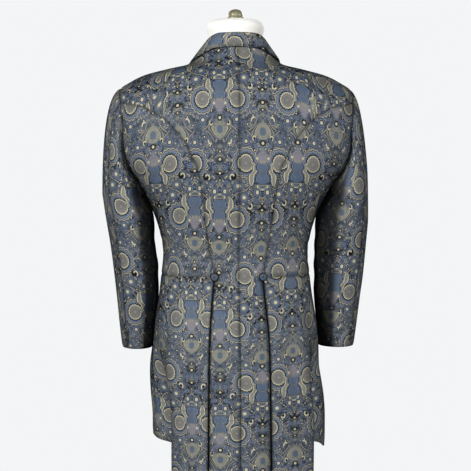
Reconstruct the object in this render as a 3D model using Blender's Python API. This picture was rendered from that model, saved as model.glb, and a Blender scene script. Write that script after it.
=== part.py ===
"""Frock coat worn by a limbless dress form on a stand.

Metres, +Z up. The origin is the middle of the stand's underside, the front of the coat
faces -Y and the wearer's left is +X. Each cut piece of the coat is one wall of cloth, worked
out on the surface that the tables below describe. Angles round the body run from the centre
back (0) past the wearer's left side (90) to the centre front (180).
"""
import math

import bmesh
import bpy
import numpy as np
from mathutils import Vector
from mathutils.bvhtree import BVHTree

# Cloth and making
CLOTH = 0.0020  # wall of brocade with its lining
SEAM = 0.0004  # open line between two pieces that are sewn together
PLY = 0.0006  # air between layers that lie on each other
FIT = 0.0003  # between pieces that touch
PROBE = 0.02  # reach of the rays that find the cloth under a button

# Heights
WAIST = 1.041
NAPE = 1.512
NECK_POINT = 1.484
SHOULDER_POINT = 1.418
UNDERARM = 1.234
VENT_TOP = 1.022

# Outside of the coat: height, half width, depth to the centre back, depth to the centre
# front, and how square the back and front halves are (2 is an ellipse)
COAT_RINGS = (
    (0.500, 0.168, 0.134, 0.136, 2.4, 2.3),
    (0.700, 0.170, 0.132, 0.134, 2.4, 2.3),
    (0.800, 0.170, 0.129, 0.130, 2.4, 2.3),
    (0.860, 0.1715, 0.125, 0.128, 2.4, 2.3),
    (0.889, 0.1710, 0.122, 0.126, 2.4, 2.3),
    (0.922, 0.1680, 0.117, 0.123, 2.4, 2.3),
    (0.960, 0.1630, 0.109, 0.120, 2.35, 2.3),
    (1.000, 0.1570, 0.097, 0.117, 2.3, 2.3),
    (1.041, 0.152, 0.089, 0.115, 2.3, 2.3),
    (1.086, 0.148, 0.088, 0.117, 2.3, 2.3),
    (1.115, 0.152, 0.094, 0.122, 2.3, 2.3),
    (1.160, 0.165, 0.104, 0.129, 2.3, 2.3),
    (1.200, 0.184, 0.113, 0.133, 2.35, 2.35),
    (1.235, 0.208, 0.119, 0.134, 2.5, 2.4),
    (1.260, 0.227, 0.122, 0.132, 2.7, 2.5),
    (1.300, 0.242, 0.1235, 0.126, 3.0, 2.7),
    (1.360, 0.246, 0.119, 0.112, 3.0, 2.7),
    (1.400, 0.243, 0.112, 0.101, 2.6, 2.4),
    (1.416, 0.235, 0.108, 0.095, 2.3, 2.2),
    (1.430, 0.2146, 0.103, 0.089, 2.1, 2.1),
    (1.444, 0.187, 0.097, 0.083, 2.0, 2.0),
    (1.457, 0.139, 0.086, 0.075, 2.0, 2.0),
    (1.467, 0.097, 0.0775, 0.069, 2.0, 2.0),
    (1.475, 0.0860, 0.072, 0.065, 2.0, 2.0),
    (1.484, 0.0790, 0.068, 0.061, 2.0, 2.0),
    (1.500, 0.0700, 0.0625, 0.055, 2.0, 2.0),
    (1.515, 0.0640, 0.0570, 0.050, 2.0, 2.0),
)

# Soft folds of the skirt: angle, angular half width, share of the radius (minus is inward),
# height where the fold starts and height where it is full
SKIRT_FOLDS = (
    (70.0, 10.0, -0.22, 0.955, 0.76),
    (110.0, 20.0, 0.085, 0.930, 0.78),
    (36.0, 11.0, 0.020, 0.990, 0.84),
    (148.0, 12.0, -0.030, 0.960, 0.84),
)

# Seams drawn on the back or front view: height, distance from the centre
SIDE_BACK_SEAM = (
    (1.041, 0.048),
    (1.100, 0.058),
    (1.152, 0.067),
    (1.210, 0.073),
    (1.254, 0.0815),
    (1.2733, 0.090),
    (1.3135, 0.112),
    (1.3365, 0.130),
    (1.3565, 0.151),
    (1.3770, 0.187),
)
PLEAT_LINE = (
    (0.500, 0.0640), (0.633, 0.0626), (0.840, 0.0606), (0.920, 0.0587), (0.985, 0.0535), (1.041, 0.048),
)
FRONT_EDGE = (
    (1.041, -0.018), (1.200, -0.018), (1.225, -0.010), (1.300, 0.020), (1.400, 0.054), (1.450, 0.070),
    (1.484, 0.0790),
)
# Seam under the arm: height, angle round the body
UNDERARM_SEAM = ((1.041, 104.0), (1.120, 104.0), (1.200, 105.0), (1.2555, 107.0))
# Cut-away front edge of the skirt: height, angle
CUTAWAY = (
    (0.712, 119.0), (0.740, 122.0), (0.765, 128.0), (0.800, 135.0), (0.860, 144.0), (0.930, 155.0),
    (1.000, 169.0), (1.041, 178.5),
)
# Hem: angle, height
HEM = (
    (0.0, 0.545), (25.0, 0.550), (40.0, 0.562), (52.0, 0.585), (60.0, 0.625), (68.0, 0.675),
    (76.0, 0.698), (90.0, 0.705), (104.0, 0.708), (112.0, 0.714), (118.0, 0.724), (122.0, 0.740),
)

# Armhole seen from the side
ARMHOLE_MIDDLE = (SHOULDER_POINT + UNDERARM) / 2
ARMHOLE_HALF_HEIGHT = (SHOULDER_POINT - UNDERARM) / 2
ARMHOLE_BACK, ARMHOLE_FRONT = 0.070, 0.066
ARM_STEPS = 30  # points round the armhole and the sleeve, 12 degrees apart
HIND_SEAM, FORE_SEAM, SIDE_SEAM = 4, 20, 18  # steps where the seams meet the armhole

# Sleeves below the cap: height, then inner and outer side of the left and of the right one,
# middle of the depth, half depth
SLEEVE_RINGS = (
    (0.889, 0.1715, 0.2330, 0.1765, 0.2500, -0.035, 0.054),
    (0.936, 0.1655, 0.2380, 0.1735, 0.2550, -0.028, 0.058),
    (0.990, 0.1595, 0.2429, 0.1680, 0.2600, -0.019, 0.064),
    (1.040, 0.1580, 0.2480, 0.1645, 0.2650, -0.010, 0.069),
    (1.106, 0.1645, 0.2560, 0.1660, 0.2695, -0.002, 0.073),
    (1.155, 0.1715, 0.2640, 0.1710, 0.2725, 0.002, 0.077),
    (1.205, 0.1930, 0.2710, 0.1930, 0.2710, 0.005, 0.078),
)
CAP_TURN = {1: 0.50, -1: 0.32}  # how far each cap runs out from the armhole before it falls
CAP_ROWS = (0.0, 0.08, 0.2, 0.38, 0.58, 0.8)
SLEEVE_ROWS = (1.205, 1.155, 1.106, 1.040, 0.985, 0.936, 0.889)

# Collar at the left half, from the centre back to the gorge. Seam and leaf edge are distances
# from the centre and heights on the coat; the fold is a free point between them
COLLAR = (
    # side, seam x, seam z, fold x, fold y, fold z, edge x, edge z
    ("back", 0.0000, 1.5120, 0.0000, 0.0640, 1.5270, 0.0000, 1.4975),
    ("back", 0.0400, 1.5060, 0.0350, 0.0555, 1.5265, 0.0390, 1.4950),
    ("back", 0.0640, 1.4955, 0.0525, 0.0370, 1.5195, 0.0650, 1.4850),
    ("back", 0.0789, 1.4842, 0.0600, 0.0060, 1.5055, 0.0865, 1.4745),
    ("front", 0.0775, 1.4740, 0.0655, -0.0310, 1.4880, 0.1010, 1.4600),
    ("front", 0.0730, 1.4580, 0.0690, -0.0600, 1.4660, 0.1120, 1.4440),
    ("front", 0.0665, 1.4400, 0.0670, -0.0870, 1.4430, 0.1190, 1.4280),
)
LEAF_LIFT = 0.0040
STAND_RISE = 0.0011  # the stand's foot above the chords of the neck edge

# Lapel on the front: height and distance from the centre of its outer edge
LAPEL_EDGE = (
    (1.206, -0.011), (1.218, 0.008), (1.250, 0.054), (1.300, 0.098), (1.350, 0.127), (1.390, 0.142),
)
LAPEL_TOP = ((0.070, 1.436), (0.104, 1.414), (0.142, 1.390))
LAPEL_ROLL = 0.0040
LAPEL_FOOT = {1: 1.206, -1: 1.226}  # the left laps over the right, which starts higher

# Pleats and laps
PLEAT_DEPTH = 0.028
VENT_LAP = 0.024
LAP_RAMP = 0.022  # width over which a layer sinks under its neighbour
FRONT_LAP = 0.0026
TAIL_ROWS = (0.0, 0.022, 0.06, 0.13, 0.22, 0.33, 0.46, 0.62, 0.80, 1.0)
SKIRT_ROWS = TAIL_ROWS

# The skirt hangs a little toward the wearer's right: shift, height where it starts and is full
SKIRT_SWAY = (-0.0095, 0.870, 0.740)
RIGHT_HEM_DROP = 0.028  # the right front corner of the skirt hangs lower

# Buttons: radius and thickness
HIP_BUTTON = (0.0088, 0.0048)
FRONT_BUTTON = (0.0105, 0.0050)
CUFF_BUTTON = (0.0060, 0.0036)
FRONT_BUTTON_HEIGHTS = (1.190, 1.122, 1.056)
CUFF_BUTTON_HEIGHTS = (0.9230, 0.9085)

# Dress form inside the coat: height, clearance to the inside of the cloth
FORM_CLEARANCE = (
    (0.860, 0.0240), (0.905, 0.0150), (0.960, 0.0120), (1.041, 0.0090), (1.086, 0.0080), (1.160, 0.0080),
    (1.235, 0.0090), (1.300, 0.0090), (1.360, 0.0080), (1.400, 0.0060), (1.425, 0.0035), (1.444, 0.0030),
    (1.457, 0.0030), (1.467, 0.0030), (1.476, 0.0030),
)
FORM_ROWS = (
    0.860, 0.905, 0.960, 1.000, 1.041, 1.086, 1.135, 1.185, 1.235, 1.290, 1.345, 1.385, 1.410, 1.428,
    1.444, 1.457, 1.467, 1.476,
)
ARM_PLATE = 0.178
# Neck of the form: height, half width, depth back, depth front
FORM_NECK = (
    (1.4850, 0.0650, 0.0570, 0.0520),
    (1.4950, 0.0570, 0.0530, 0.0480),
    (1.5080, 0.0540, 0.0515, 0.0465),
    (1.5260, 0.0565, 0.0515, 0.0465),
    (1.5400, 0.0590, 0.0520, 0.0470),
    (1.5490, 0.0560, 0.0490, 0.0445),
    (1.5555, 0.0475, 0.0415, 0.0375),
    (1.5588, 0.0330, 0.0290, 0.0265),
    (1.5596, 0.0180, 0.0160, 0.0145),
)
FORM_STEPS = 30
FORM_FOOT = 0.860
FORM_CROWN = 1.5598

# Stand and finial
POLE_RADIUS = 0.0150
BASE_RADIUS = 0.190
BASE_HEIGHT = 0.016
HUB_RADIUS, HUB_HEIGHT = 0.032, 0.060

COLOURS = {
    # name: colour, roughness, metallic
    "brocade": ((0.115, 0.135, 0.185), 0.45, 0.0),
    "form cover": ((0.86, 0.86, 0.85), 0.80, 0.0),
    "button": ((0.080, 0.110, 0.150), 0.45, 0.0),
    "dark button": ((0.020, 0.021, 0.025), 0.30, 0.0),
    "finial": ((0.240, 0.230, 0.175), 0.45, 0.0),
    "steel": ((0.500, 0.500, 0.510), 0.30, 1.0),
    "iron": ((0.030, 0.030, 0.032), 0.45, 0.6),
}


def through(rows):
    """Smooth curve through a table: the first column leads and the others follow it."""
    table = np.array(sorted(rows), float)
    lead, value = table[:, 0], table[:, 1:]
    step = np.diff(lead)[:, None]
    rise = np.diff(value, axis=0) / step
    slope = np.zeros_like(value)
    before, after = rise[:-1], rise[1:]
    same = before * after > 0
    slope[1:-1][same] = 2 * before[same] * after[same] / (before + after)[same]
    slope[0], slope[-1] = rise[0], rise[-1]

    def at(x):
        x = np.clip(np.asarray(x, float), lead[0], lead[-1])
        i = np.clip(np.searchsorted(lead, x, side="right") - 1, 0, len(lead) - 2)
        h = step[i, 0]
        t = ((x - lead[i]) / h)[..., None]
        h = h[..., None]
        rest = 1 - t
        return (
            (1 + 2 * t) * rest ** 2 * value[i]
            + t * rest ** 2 * h * slope[i]
            + t ** 2 * (3 - 2 * t) * value[i + 1]
            - t ** 2 * rest * h * slope[i + 1]
        )

    return at


ring_at = through(COAT_RINGS)
hem_at = through(HEM)
side_back_at = through(SIDE_BACK_SEAM)
pleat_at = through(PLEAT_LINE)
front_edge_at = through(FRONT_EDGE)
underarm_at = through(UNDERARM_SEAM)
cutaway_at = through(CUTAWAY)
sleeve_at = through(SLEEVE_RINGS)
clearance_at = through(FORM_CLEARANCE)
lapel_edge_at = through(LAPEL_EDGE)


def smooth(x):
    x = np.clip(x, 0.0, 1.0)
    return x * x * (3 - 2 * x)


def unit(v):
    return v / np.maximum(np.linalg.norm(v, axis=-1, keepdims=True), 1e-12)


def folds(angle, z):
    """Factor on the radius from the skirt's soft folds."""
    turned = np.abs((angle + math.pi) % (2 * math.pi) - math.pi)
    total = np.ones_like(angle * z)
    for middle, width, share, start, full in SKIRT_FOLDS:
        bump = np.exp(-(((turned - math.radians(middle)) / math.radians(width)) ** 2))
        total = total + share * bump * smooth((start - z) / (start - full))
    return total


def body(angle, z):
    """Point on the outside of the coat."""
    angle, z = np.broadcast_arrays(np.asarray(angle, float), np.asarray(z, float))
    half, back, front, square_back, square_front = np.moveaxis(ring_at(z), -1, 0)
    s, c = np.sin(angle), np.cos(angle)
    depth = np.where(c >= 0, back, front)
    square = np.where(c >= 0, square_back, square_front)
    radius = (np.abs(s) ** square + np.abs(c) ** square) ** (-1 / square) * folds(angle, z)
    return np.stack([half * radius * s, depth * radius * c, z], -1)


def body_normal(angle, z):
    small = 2e-4
    up = body(angle, z + small) - body(angle, z - small)
    along = body(angle + small, z) - body(angle - small, z)
    return unit(np.cross(up, along))


def angle_of(points):
    """Angle round the body of points on the coat."""
    half, back, front = np.moveaxis(ring_at(points[..., 2]), -1, 0)[:3]
    depth = np.where(points[..., 1] >= 0, back, front)
    return np.arctan2(points[..., 0] / half, points[..., 1] / depth)


def on_view(x, z, side):
    """Point of the coat seen at x, z from the back or the front."""
    x, z = np.broadcast_arrays(np.asarray(x, float), np.asarray(z, float))
    half, back, front, square_back, square_front = np.moveaxis(ring_at(z), -1, 0)
    share = np.clip(np.abs(x / half), 0.0, 1.0)
    if side == "back":
        y = back * (1 - share ** square_back) ** (1 / square_back)
    else:
        y = -front * (1 - share ** square_front) ** (1 / square_front)
    return np.stack([np.clip(x, -half, half), y, z], -1)


def patch(bottom, top, left, right):
    """Grid of plane points between four edges that meet at their corners; rows run upward."""
    u = np.linspace(0, 1, len(bottom))[None, :, None]
    v = np.linspace(0, 1, len(left))[:, None, None]
    edges = (1 - v) * bottom[None] + v * top[None] + (1 - u) * left[:, None] + u * right[:, None]
    corners = (
        (1 - u) * (1 - v) * bottom[0] + u * (1 - v) * bottom[-1] + (1 - u) * v * top[0] + u * v * top[-1]
    )
    return edges - corners


def from_view(grid, side):
    return on_view(grid[..., 0], grid[..., 1], side)


def height_over(x, y):
    """Height of the shoulders above points of the plan."""
    low, high = np.full(x.shape, 1.36), np.full(x.shape, 1.515)
    for _ in range(26):
        middle = (low + high) / 2
        half, back, front, square_back, square_front = np.moveaxis(ring_at(middle), -1, 0)
        depth, square = np.where(y >= 0, back, front), np.where(y >= 0, square_back, square_front)
        inside = np.abs(x / half) ** square + np.abs(y / depth) ** square < 1
        low, high = np.where(inside, middle, low), np.where(inside, high, middle)
    return (low + high) / 2


def crested(points):
    """Adds a row beside the shoulder seam, where the cloth turns over; its ends stay on the edges."""
    between = (points[-1] + points[-2]) / 2
    between[1:-1, 2] = height_over(between[1:-1, 0], between[1:-1, 1])
    return np.insert(points, -1, between, axis=0)


def view_of(points):
    return points[..., [0, 2]]


def turn_of(points):
    return np.stack([angle_of(points), points[..., 2]], -1)


def trim(outer, inner, sides="btlr", cut=SEAM / 2):
    """Draws the edges of a grid in by half a seam."""
    for grid in (outer, inner):
        if "b" in sides:
            grid[0] += unit(grid[1] - grid[0]) * cut
        if "t" in sides:
            grid[-1] += unit(grid[-2] - grid[-1]) * cut
        if "l" in sides:
            grid[:, 0] += unit(grid[:, 1] - grid[:, 0]) * cut
        if "r" in sides:
            grid[:, -1] += unit(grid[:, -2] - grid[:, -1]) * cut


def material(name):
    found = bpy.data.materials.get(name)
    if found:
        return found
    colour, rough, metal = COLOURS[name]
    made = bpy.data.materials.new(name)
    made.use_nodes = True
    shader = made.node_tree.nodes["Principled BSDF"]
    shader.inputs["Base Color"].default_value = (*colour, 1.0)
    shader.inputs["Roughness"].default_value = rough
    shader.inputs["Metallic"].default_value = metal
    made.diffuse_color = (*colour, 1.0)
    return made


def volume(points, faces):
    a, b, c = (points[faces[:, k]] for k in range(3))
    return float((a * np.cross(b, c)).sum() / 6)


def solid(name, points, faces, finish, parent):
    """Object from points and triangles, turned so that the faces point outward."""
    points, faces = np.asarray(points, float), np.asarray(faces, int)
    if volume(points, faces) < 0:
        faces = faces[:, ::-1]
    mesh = bpy.data.meshes.new(name)
    mesh.from_pydata([tuple(p) for p in points], [], [tuple(int(i) for i in f) for f in faces])
    mesh.materials.append(material(finish))
    mesh.shade_smooth()
    mesh.set_sharp_from_angle(angle=math.radians(40))
    made = bpy.data.objects.new(name, mesh)
    bpy.context.scene.collection.objects.link(made)
    made.parent = parent
    return made


def wall(name, outer, inner, parent, finish="brocade", present=None, closed=False):
    """Wall of cloth between two grids of points, with rims round every edge."""
    rows, cols = outer.shape[:2]
    across = cols if closed else cols - 1
    if present is None:
        present = np.ones((rows - 1, across), bool)
    points = np.concatenate([outer.reshape(-1, 3), inner.reshape(-1, 3)])
    deep = rows * cols

    def at(i, j):
        return i * cols + j % cols

    def there(i, j):
        if closed:
            j %= across
        return 0 <= i < rows - 1 and 0 <= j < across and present[i, j]

    faces = []
    for i in range(rows - 1):
        for j in range(across):
            if not present[i, j]:
                continue
            a, b, c, d = at(i, j), at(i, j + 1), at(i + 1, j + 1), at(i + 1, j)
            faces += [(a, b, c), (a, c, d), (a + deep, c + deep, b + deep), (a + deep, d + deep, c + deep)]
            for di, dj, p, q in ((-1, 0, a, b), (0, 1, b, c), (1, 0, c, d), (0, -1, d, a)):
                if not there(i + di, j + dj):
                    faces += [(p, p + deep, q + deep), (p, q + deep, q)]
    faces = np.array(faces)
    used = np.unique(faces)
    index = np.full(len(points), -1)
    index[used] = np.arange(len(used))
    return solid(name, points[used], index[faces], finish, parent)


def mirrored(grid, side):
    return grid * np.array([side, 1.0, 1.0])


def swayed(grid):
    """Shifts the sides of the skirt toward the wearer's right."""
    shift, start, full = SKIRT_SWAY
    share = smooth((np.abs(grid[..., 0]) - 0.085) / 0.06) * smooth((start - grid[..., 2]) / (start - full))
    return grid + share[..., None] * np.array([shift, 0.0, 0.0])


# Lines that two or more pieces share

def armhole():
    """Points round the left armhole, from the shoulder point back, down and round to the front."""
    turn = np.arange(ARM_STEPS) * (2 * math.pi / ARM_STEPS)
    y = np.where(np.sin(turn) >= 0, ARMHOLE_BACK, ARMHOLE_FRONT) * np.sin(turn)
    z = ARMHOLE_MIDDLE + ARMHOLE_HALF_HEIGHT * np.cos(turn)
    half, back, front, square_back, square_front = np.moveaxis(ring_at(z), -1, 0)
    depth = np.where(y >= 0, back, front)
    square = np.where(y >= 0, square_back, square_front)
    x = half * (1 - np.abs(y / depth) ** square) ** (1 / square)
    return np.stack([x, y, z], -1)


ARM = armhole()
SIDE_STEPS = 10  # rows of the bodice from the waist up to the armhole
UPPER_BACK = (1.425, 1.445, 1.463, 1.484)  # heights of the rows above that at the centre back
NECK_COLUMNS = 4


def side_back_seam():
    """From the waist up to the armhole."""
    z = np.linspace(WAIST, SIDE_BACK_SEAM[-1][0], 60)
    line = on_view(side_back_at(z)[..., 0], z, "back")
    line = np.concatenate([line, ARM[HIND_SEAM][None]])
    length = np.concatenate([[0], np.cumsum(np.linalg.norm(np.diff(line, axis=0), axis=1))])
    share = length[-1] * (1 - np.linspace(1, 0, SIDE_STEPS + 1) ** 1.3)
    found = np.stack([np.interp(share, length, line[:, k]) for k in range(3)], -1)
    found[:-1] = on_view(found[:-1, 0], found[:-1, 2], "back")
    return found


def underarm_seam():
    share = np.linspace(0, 1, SIDE_STEPS + 1)
    top = ARM[SIDE_SEAM]
    z = WAIST + (top[2] - WAIST) * share
    angle = np.radians(underarm_at(z)[..., 0])
    angle += (angle_of(top) - angle[-1]) * smooth(share)
    return body(angle, z)


SIDE_BACK = side_back_seam()
UNDERARM_LINE = underarm_seam()


def shoulder_seam():
    """From the neck point out to the shoulder point."""
    z = NECK_POINT + (SHOULDER_POINT - NECK_POINT) * np.array([0.0, 0.16, 0.34, 0.55, 0.77, 1.0])
    line = body(np.full(len(z), math.pi / 2), z)
    line[-1] = ARM[0]
    return line


SHOULDER = shoulder_seam()
FRONT_COLUMNS = len(SHOULDER) - 1
SIDE_COLUMNS = SIDE_SEAM - HIND_SEAM
FRONT_END = 178.5  # angle of the skirt's front corner at the waist


def waist_angles():
    """Angles of the points along the waist seam, from the side-back seam to the front edge."""
    back, under = angle_of(SIDE_BACK[0]), angle_of(UNDERARM_LINE[0])
    side = np.linspace(back, under, SIDE_COLUMNS + 1)
    return np.concatenate([side, np.linspace(under, math.radians(FRONT_END), FRONT_COLUMNS + 1)[1:]])


WAIST_LINE = waist_angles()


# Coat pieces

def recess(x, z, full_at, ramp, top, blend, depth):
    """Depth by which a piece sinks under its neighbour near a lapped edge."""
    return depth * smooth((x - (full_at - ramp)) / ramp) * smooth((top - z) / blend)


PLEAT_STACK = 2 * (CLOTH + PLY)


def back_panel(side, parent):
    """Half of the back, cut in one with its tail; the pleat and the vent are folded under."""
    neck_turn = np.sin(np.linspace(0, math.pi / 2, NECK_COLUMNS + 1))
    neck = np.stack([neck_turn * SHOULDER[0, 0], NAPE - (NAPE - NECK_POINT) * neck_turn ** 2], -1)
    top = np.concatenate([neck, view_of(SHOULDER)[1:]])
    arm = view_of(ARM[:HIND_SEAM + 1])[::-1]
    right = np.concatenate([view_of(SIDE_BACK), arm[1:]])
    low = UPPER_BACK[0] - (UPPER_BACK[0] - WAIST) * np.linspace(1, 0, SIDE_STEPS + 1) ** 1.5
    left = np.concatenate([low, UPPER_BACK[1:], [NAPE]])
    left = np.stack([np.zeros_like(left), left], -1)
    share = np.linspace(0, 1, len(top))
    bottom = np.stack([share * right[0, 0], np.full(len(top), WAIST)], -1)
    upper = patch(bottom, top, left, right)

    # rows of the tail, from the hem up to the waist, leaving out the waist row itself
    rows = []
    for down in TAIL_ROWS[:0:-1]:
        z = np.full(len(share), WAIST)
        for _ in range(3):
            x = share * pleat_at(z)[..., 0]
            hem = hem_at(np.degrees(angle_of(on_view(x, z, "back"))))[..., 0]
            z = WAIST + (hem - WAIST) * down
        rows.append(np.stack([share * pleat_at(z)[..., 0], z], -1))
    flat = np.concatenate([np.array(rows), upper])
    points = from_view(flat, "back")
    exact = np.concatenate([SIDE_BACK, ARM[:HIND_SEAM + 1][::-1][1:]])
    points[len(rows):, -1] = exact
    points[-1, NECK_COLUMNS:] = SHOULDER
    points = crested(points)
    angle, z = angle_of(points), points[..., 2]
    normal = body_normal(angle, z)
    x = points[..., 0]
    pleat_x = pleat_at(np.minimum(z, WAIST))[..., 0]
    sink = recess(x, z, pleat_x - 0.002, LAP_RAMP, WAIST, 0.0105, PLEAT_STACK)
    if side < 0:
        sink = sink + recess(-x, z, -0.001, LAP_RAMP, VENT_TOP + 0.014, 0.014, CLOTH + PLY)
    outer = points - normal * sink[..., None]
    inner = outer - normal * CLOTH
    trim(outer, inner)

    tails = len(rows)
    present = np.ones((points.shape[0] - 1, points.shape[1] - 1), bool)
    step = PLEAT_DEPTH / 3
    under_outer, under_inner = [], []
    for k in (1, 2, 3):
        z = points[:, -1, 2]
        base = angle[:, -1]
        stretch = np.linalg.norm(body(base + 1e-3, z) - body(base, z), axis=-1) / 1e-3
        turned = base + k * step / stretch
        lies = body(turned, z) - body_normal(turned, z) * PLEAT_STACK
        under_outer.append(lies)
        under_inner.append(lies - body_normal(turned, z) * CLOTH)
    outer = np.concatenate([outer, np.stack(under_outer, 1)], 1)
    inner = np.concatenate([inner, np.stack(under_inner, 1)], 1)
    folded = np.zeros((points.shape[0] - 1, 3), bool)
    folded[:tails - 1] = True
    present = np.concatenate([present, folded], 1)
    if side < 0:
        lap_outer, lap_inner = [], []
        for k in (3, 2, 1):
            lap = on_view(np.full(len(points), -k * VENT_LAP / 3), points[:, 0, 2], "back")
            across = body_normal(angle_of(lap), lap[:, 2])
            lap_outer.append(lap - across * (CLOTH + PLY))
            lap_inner.append(lap - across * (2 * CLOTH + PLY))
        outer = np.concatenate([np.stack(lap_outer, 1), outer], 1)
        inner = np.concatenate([np.stack(lap_inner, 1), inner], 1)
        folded = np.zeros((points.shape[0] - 1, 3), bool)
        folded[:tails - 2] = True
        present = np.concatenate([folded, present], 1)
    name = "back_left" if side > 0 else "back_right"
    return wall(name, mirrored(outer, side), mirrored(inner, side), parent, present=present)


def side_body(side, parent):
    top = turn_of(ARM[HIND_SEAM:SIDE_SEAM + 1])
    left, right = turn_of(SIDE_BACK), turn_of(UNDERARM_LINE)
    angles = WAIST_LINE[:SIDE_COLUMNS + 1]
    bottom = np.stack([angles, np.full(len(angles), WAIST)], -1)
    flat = patch(bottom, top, left, right)
    outer = body(flat[..., 0], flat[..., 1])
    inner = outer - body_normal(flat[..., 0], flat[..., 1]) * CLOTH
    trim(outer, inner)
    name = "side_body_left" if side > 0 else "side_body_right"
    return wall(name, mirrored(outer, side), mirrored(inner, side), parent)


def front_panel(side, parent):
    """Forepart; the right one sinks under the left where they lap."""
    arm = np.concatenate([ARM[SIDE_SEAM:], ARM[:1]])
    left = view_of(np.concatenate([UNDERARM_LINE, arm[1:]]))
    top = view_of(SHOULDER)[::-1]
    rise = np.linspace(0, 1, len(left))
    z = WAIST + (NECK_POINT - WAIST) * (1 - (1 - rise) ** 1.25)
    right = np.stack([front_edge_at(z)[..., 0], z], -1)
    right[-1] = top[-1]
    bottom = view_of(body(WAIST_LINE[SIDE_COLUMNS:], WAIST))
    bottom[-1] = right[0]
    flat = patch(bottom, top, left, right)
    points = from_view(flat, "front")
    points[:, 0] = np.concatenate([UNDERARM_LINE, arm[1:]])
    points[-1] = SHOULDER[::-1]
    points = crested(points)
    between = points[:, -2] + (points[:, -1] - points[:, -2]) * 0.45
    between[:-2] = on_view(between[:-2, 0], between[:-2, 2], "front")
    points = np.insert(points, -1, between, axis=1)
    normal = body_normal(angle_of(points), points[..., 2])
    sink = 0.0
    if side < 0:
        x, z = points[..., 0], points[..., 2]
        sink = recess(-x, z, -0.020, LAP_RAMP, 1.300, 0.036, FRONT_LAP)[..., None]
    outer = points - normal * sink
    inner = outer - normal * CLOTH
    trim(outer, inner)
    name = "front_left" if side > 0 else "front_right"
    return wall(name, mirrored(outer, side), mirrored(inner, side), parent)


BEND = CLOTH + PLY / 2  # outside radius of a folded edge


def skirt(side, parent):
    """Skirt from the pleat at the back round to the cut-away front, its back edge folded under."""
    columns = len(WAIST_LINE)
    share = np.linspace(0, 1, columns)
    down = np.array(SKIRT_ROWS)
    corner_angle, corner_z = HEM[-1]
    if side < 0:
        corner_z -= RIGHT_HEM_DROP
    front_z = WAIST + (corner_z - WAIST) * down
    front = np.stack([np.radians(cutaway_at(front_z)[..., 0]), front_z], -1)
    pleat_z = WAIST + (HEM[1][1] - WAIST) * down
    pleat = turn_of(on_view(pleat_at(pleat_z)[..., 0] + BEND, pleat_z, "back"))
    waist = np.stack([WAIST_LINE, np.full(columns, WAIST)], -1)
    waist[0], front[0] = pleat[0], waist[-1]
    # columns gather where the groove and the corner need them
    crowd = share + 0.055 * np.sin(2 * math.pi * share)
    hem_angle = pleat[-1, 0] + (math.radians(corner_angle) - pleat[-1, 0]) * crowd
    hem = np.stack([hem_angle, hem_at(np.degrees(hem_angle))[..., 0]], -1)
    if side < 0:
        hem[:, 1] -= RIGHT_HEM_DROP * smooth((np.degrees(hem_angle) - 72) / 24)
    pleat[-1] = hem[0]
    front[-1] = hem[-1]
    flat = patch(hem, waist, pleat[::-1], front[::-1])
    outer = body(flat[..., 0], flat[..., 1])
    normal = body_normal(flat[..., 0], flat[..., 1])
    inner = outer - normal * CLOTH
    trim(outer, inner, "btr")

    # the fold at the pleat: round the bend, then back under the outer layer
    edge, out = outer[:, 0], normal[:, 0]
    along = unit(outer[:, 1] - outer[:, 0])
    middle = edge - out * BEND
    extra_outer, extra_inner = [], []
    step = PLEAT_DEPTH / 3
    z = flat[:, 0, 1]
    stretch = np.linalg.norm(body(flat[:, 0, 0] + 1e-3, z) - body(flat[:, 0, 0], z), axis=-1) / 1e-3
    for k in (3, 2, 1):
        turned = flat[:, 0, 0] + k * step / stretch
        lies, across = body(turned, z), body_normal(turned, z)
        extra_outer.append(lies - across * (2 * CLOTH + PLY))
        extra_inner.append(lies - across * (CLOTH + PLY))
    for turn in (180.0, 120.0, 60.0):
        t = math.radians(turn)
        way = out * math.cos(t) - along * math.sin(t)
        extra_outer.append(middle + way * BEND)
        extra_inner.append(middle + way * PLY / 2)
    outer = np.concatenate([np.stack(extra_outer, 1), outer], 1)
    inner = np.concatenate([np.stack(extra_inner, 1), inner], 1)
    present = np.ones((outer.shape[0] - 1, outer.shape[1] - 1), bool)
    present[-1, :6] = False
    name = "skirt_left" if side > 0 else "skirt_right"
    walls = [swayed(mirrored(grid, side)) for grid in (outer, inner)]
    return wall(name, *walls, parent, present=present)


def sleeve_grid(side):
    """Outer and inner points of a sleeve, drawn at the left, from the armhole down to the cuff."""
    turn = np.arange(ARM_STEPS) * (2 * math.pi / ARM_STEPS)

    def ring(z):
        left_in, left_out, right_in, right_out, middle, half = sleeve_at(z)
        low_x, high_x = (left_in, left_out) if side > 0 else (right_in, right_out)
        centre, across = (low_x + high_x) / 2, (high_x - low_x) / 2
        x, y = centre + across * np.cos(turn), middle + half * np.sin(turn)
        return np.stack([x, y, np.full(ARM_STEPS, z)], -1)

    out = body_normal(angle_of(ARM), ARM[:, 2])
    start = ARM + out * SEAM
    end = ring(SLEEVE_ROWS[0])
    reach = np.linalg.norm(end - start, axis=-1, keepdims=True)
    leaves = unit(out + unit(end - start)) * reach * CAP_TURN[side]
    lands = np.array([0.0, 0.0, -1.0]) * reach
    rows = []
    for t in CAP_ROWS:
        rows.append(
            (1 + 2 * t) * (1 - t) ** 2 * start
            + t * (1 - t) ** 2 * leaves
            + t ** 2 * (3 - 2 * t) * end
            - t ** 2 * (1 - t) * lands
        )
    rows += [ring(z) for z in SLEEVE_ROWS]
    outer = np.array(rows)
    around = np.roll(outer, -1, 1) - np.roll(outer, 1, 1)
    down = np.gradient(outer, axis=0)
    normal = unit(np.cross(down, around))
    return outer, outer - normal * CLOTH


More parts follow.
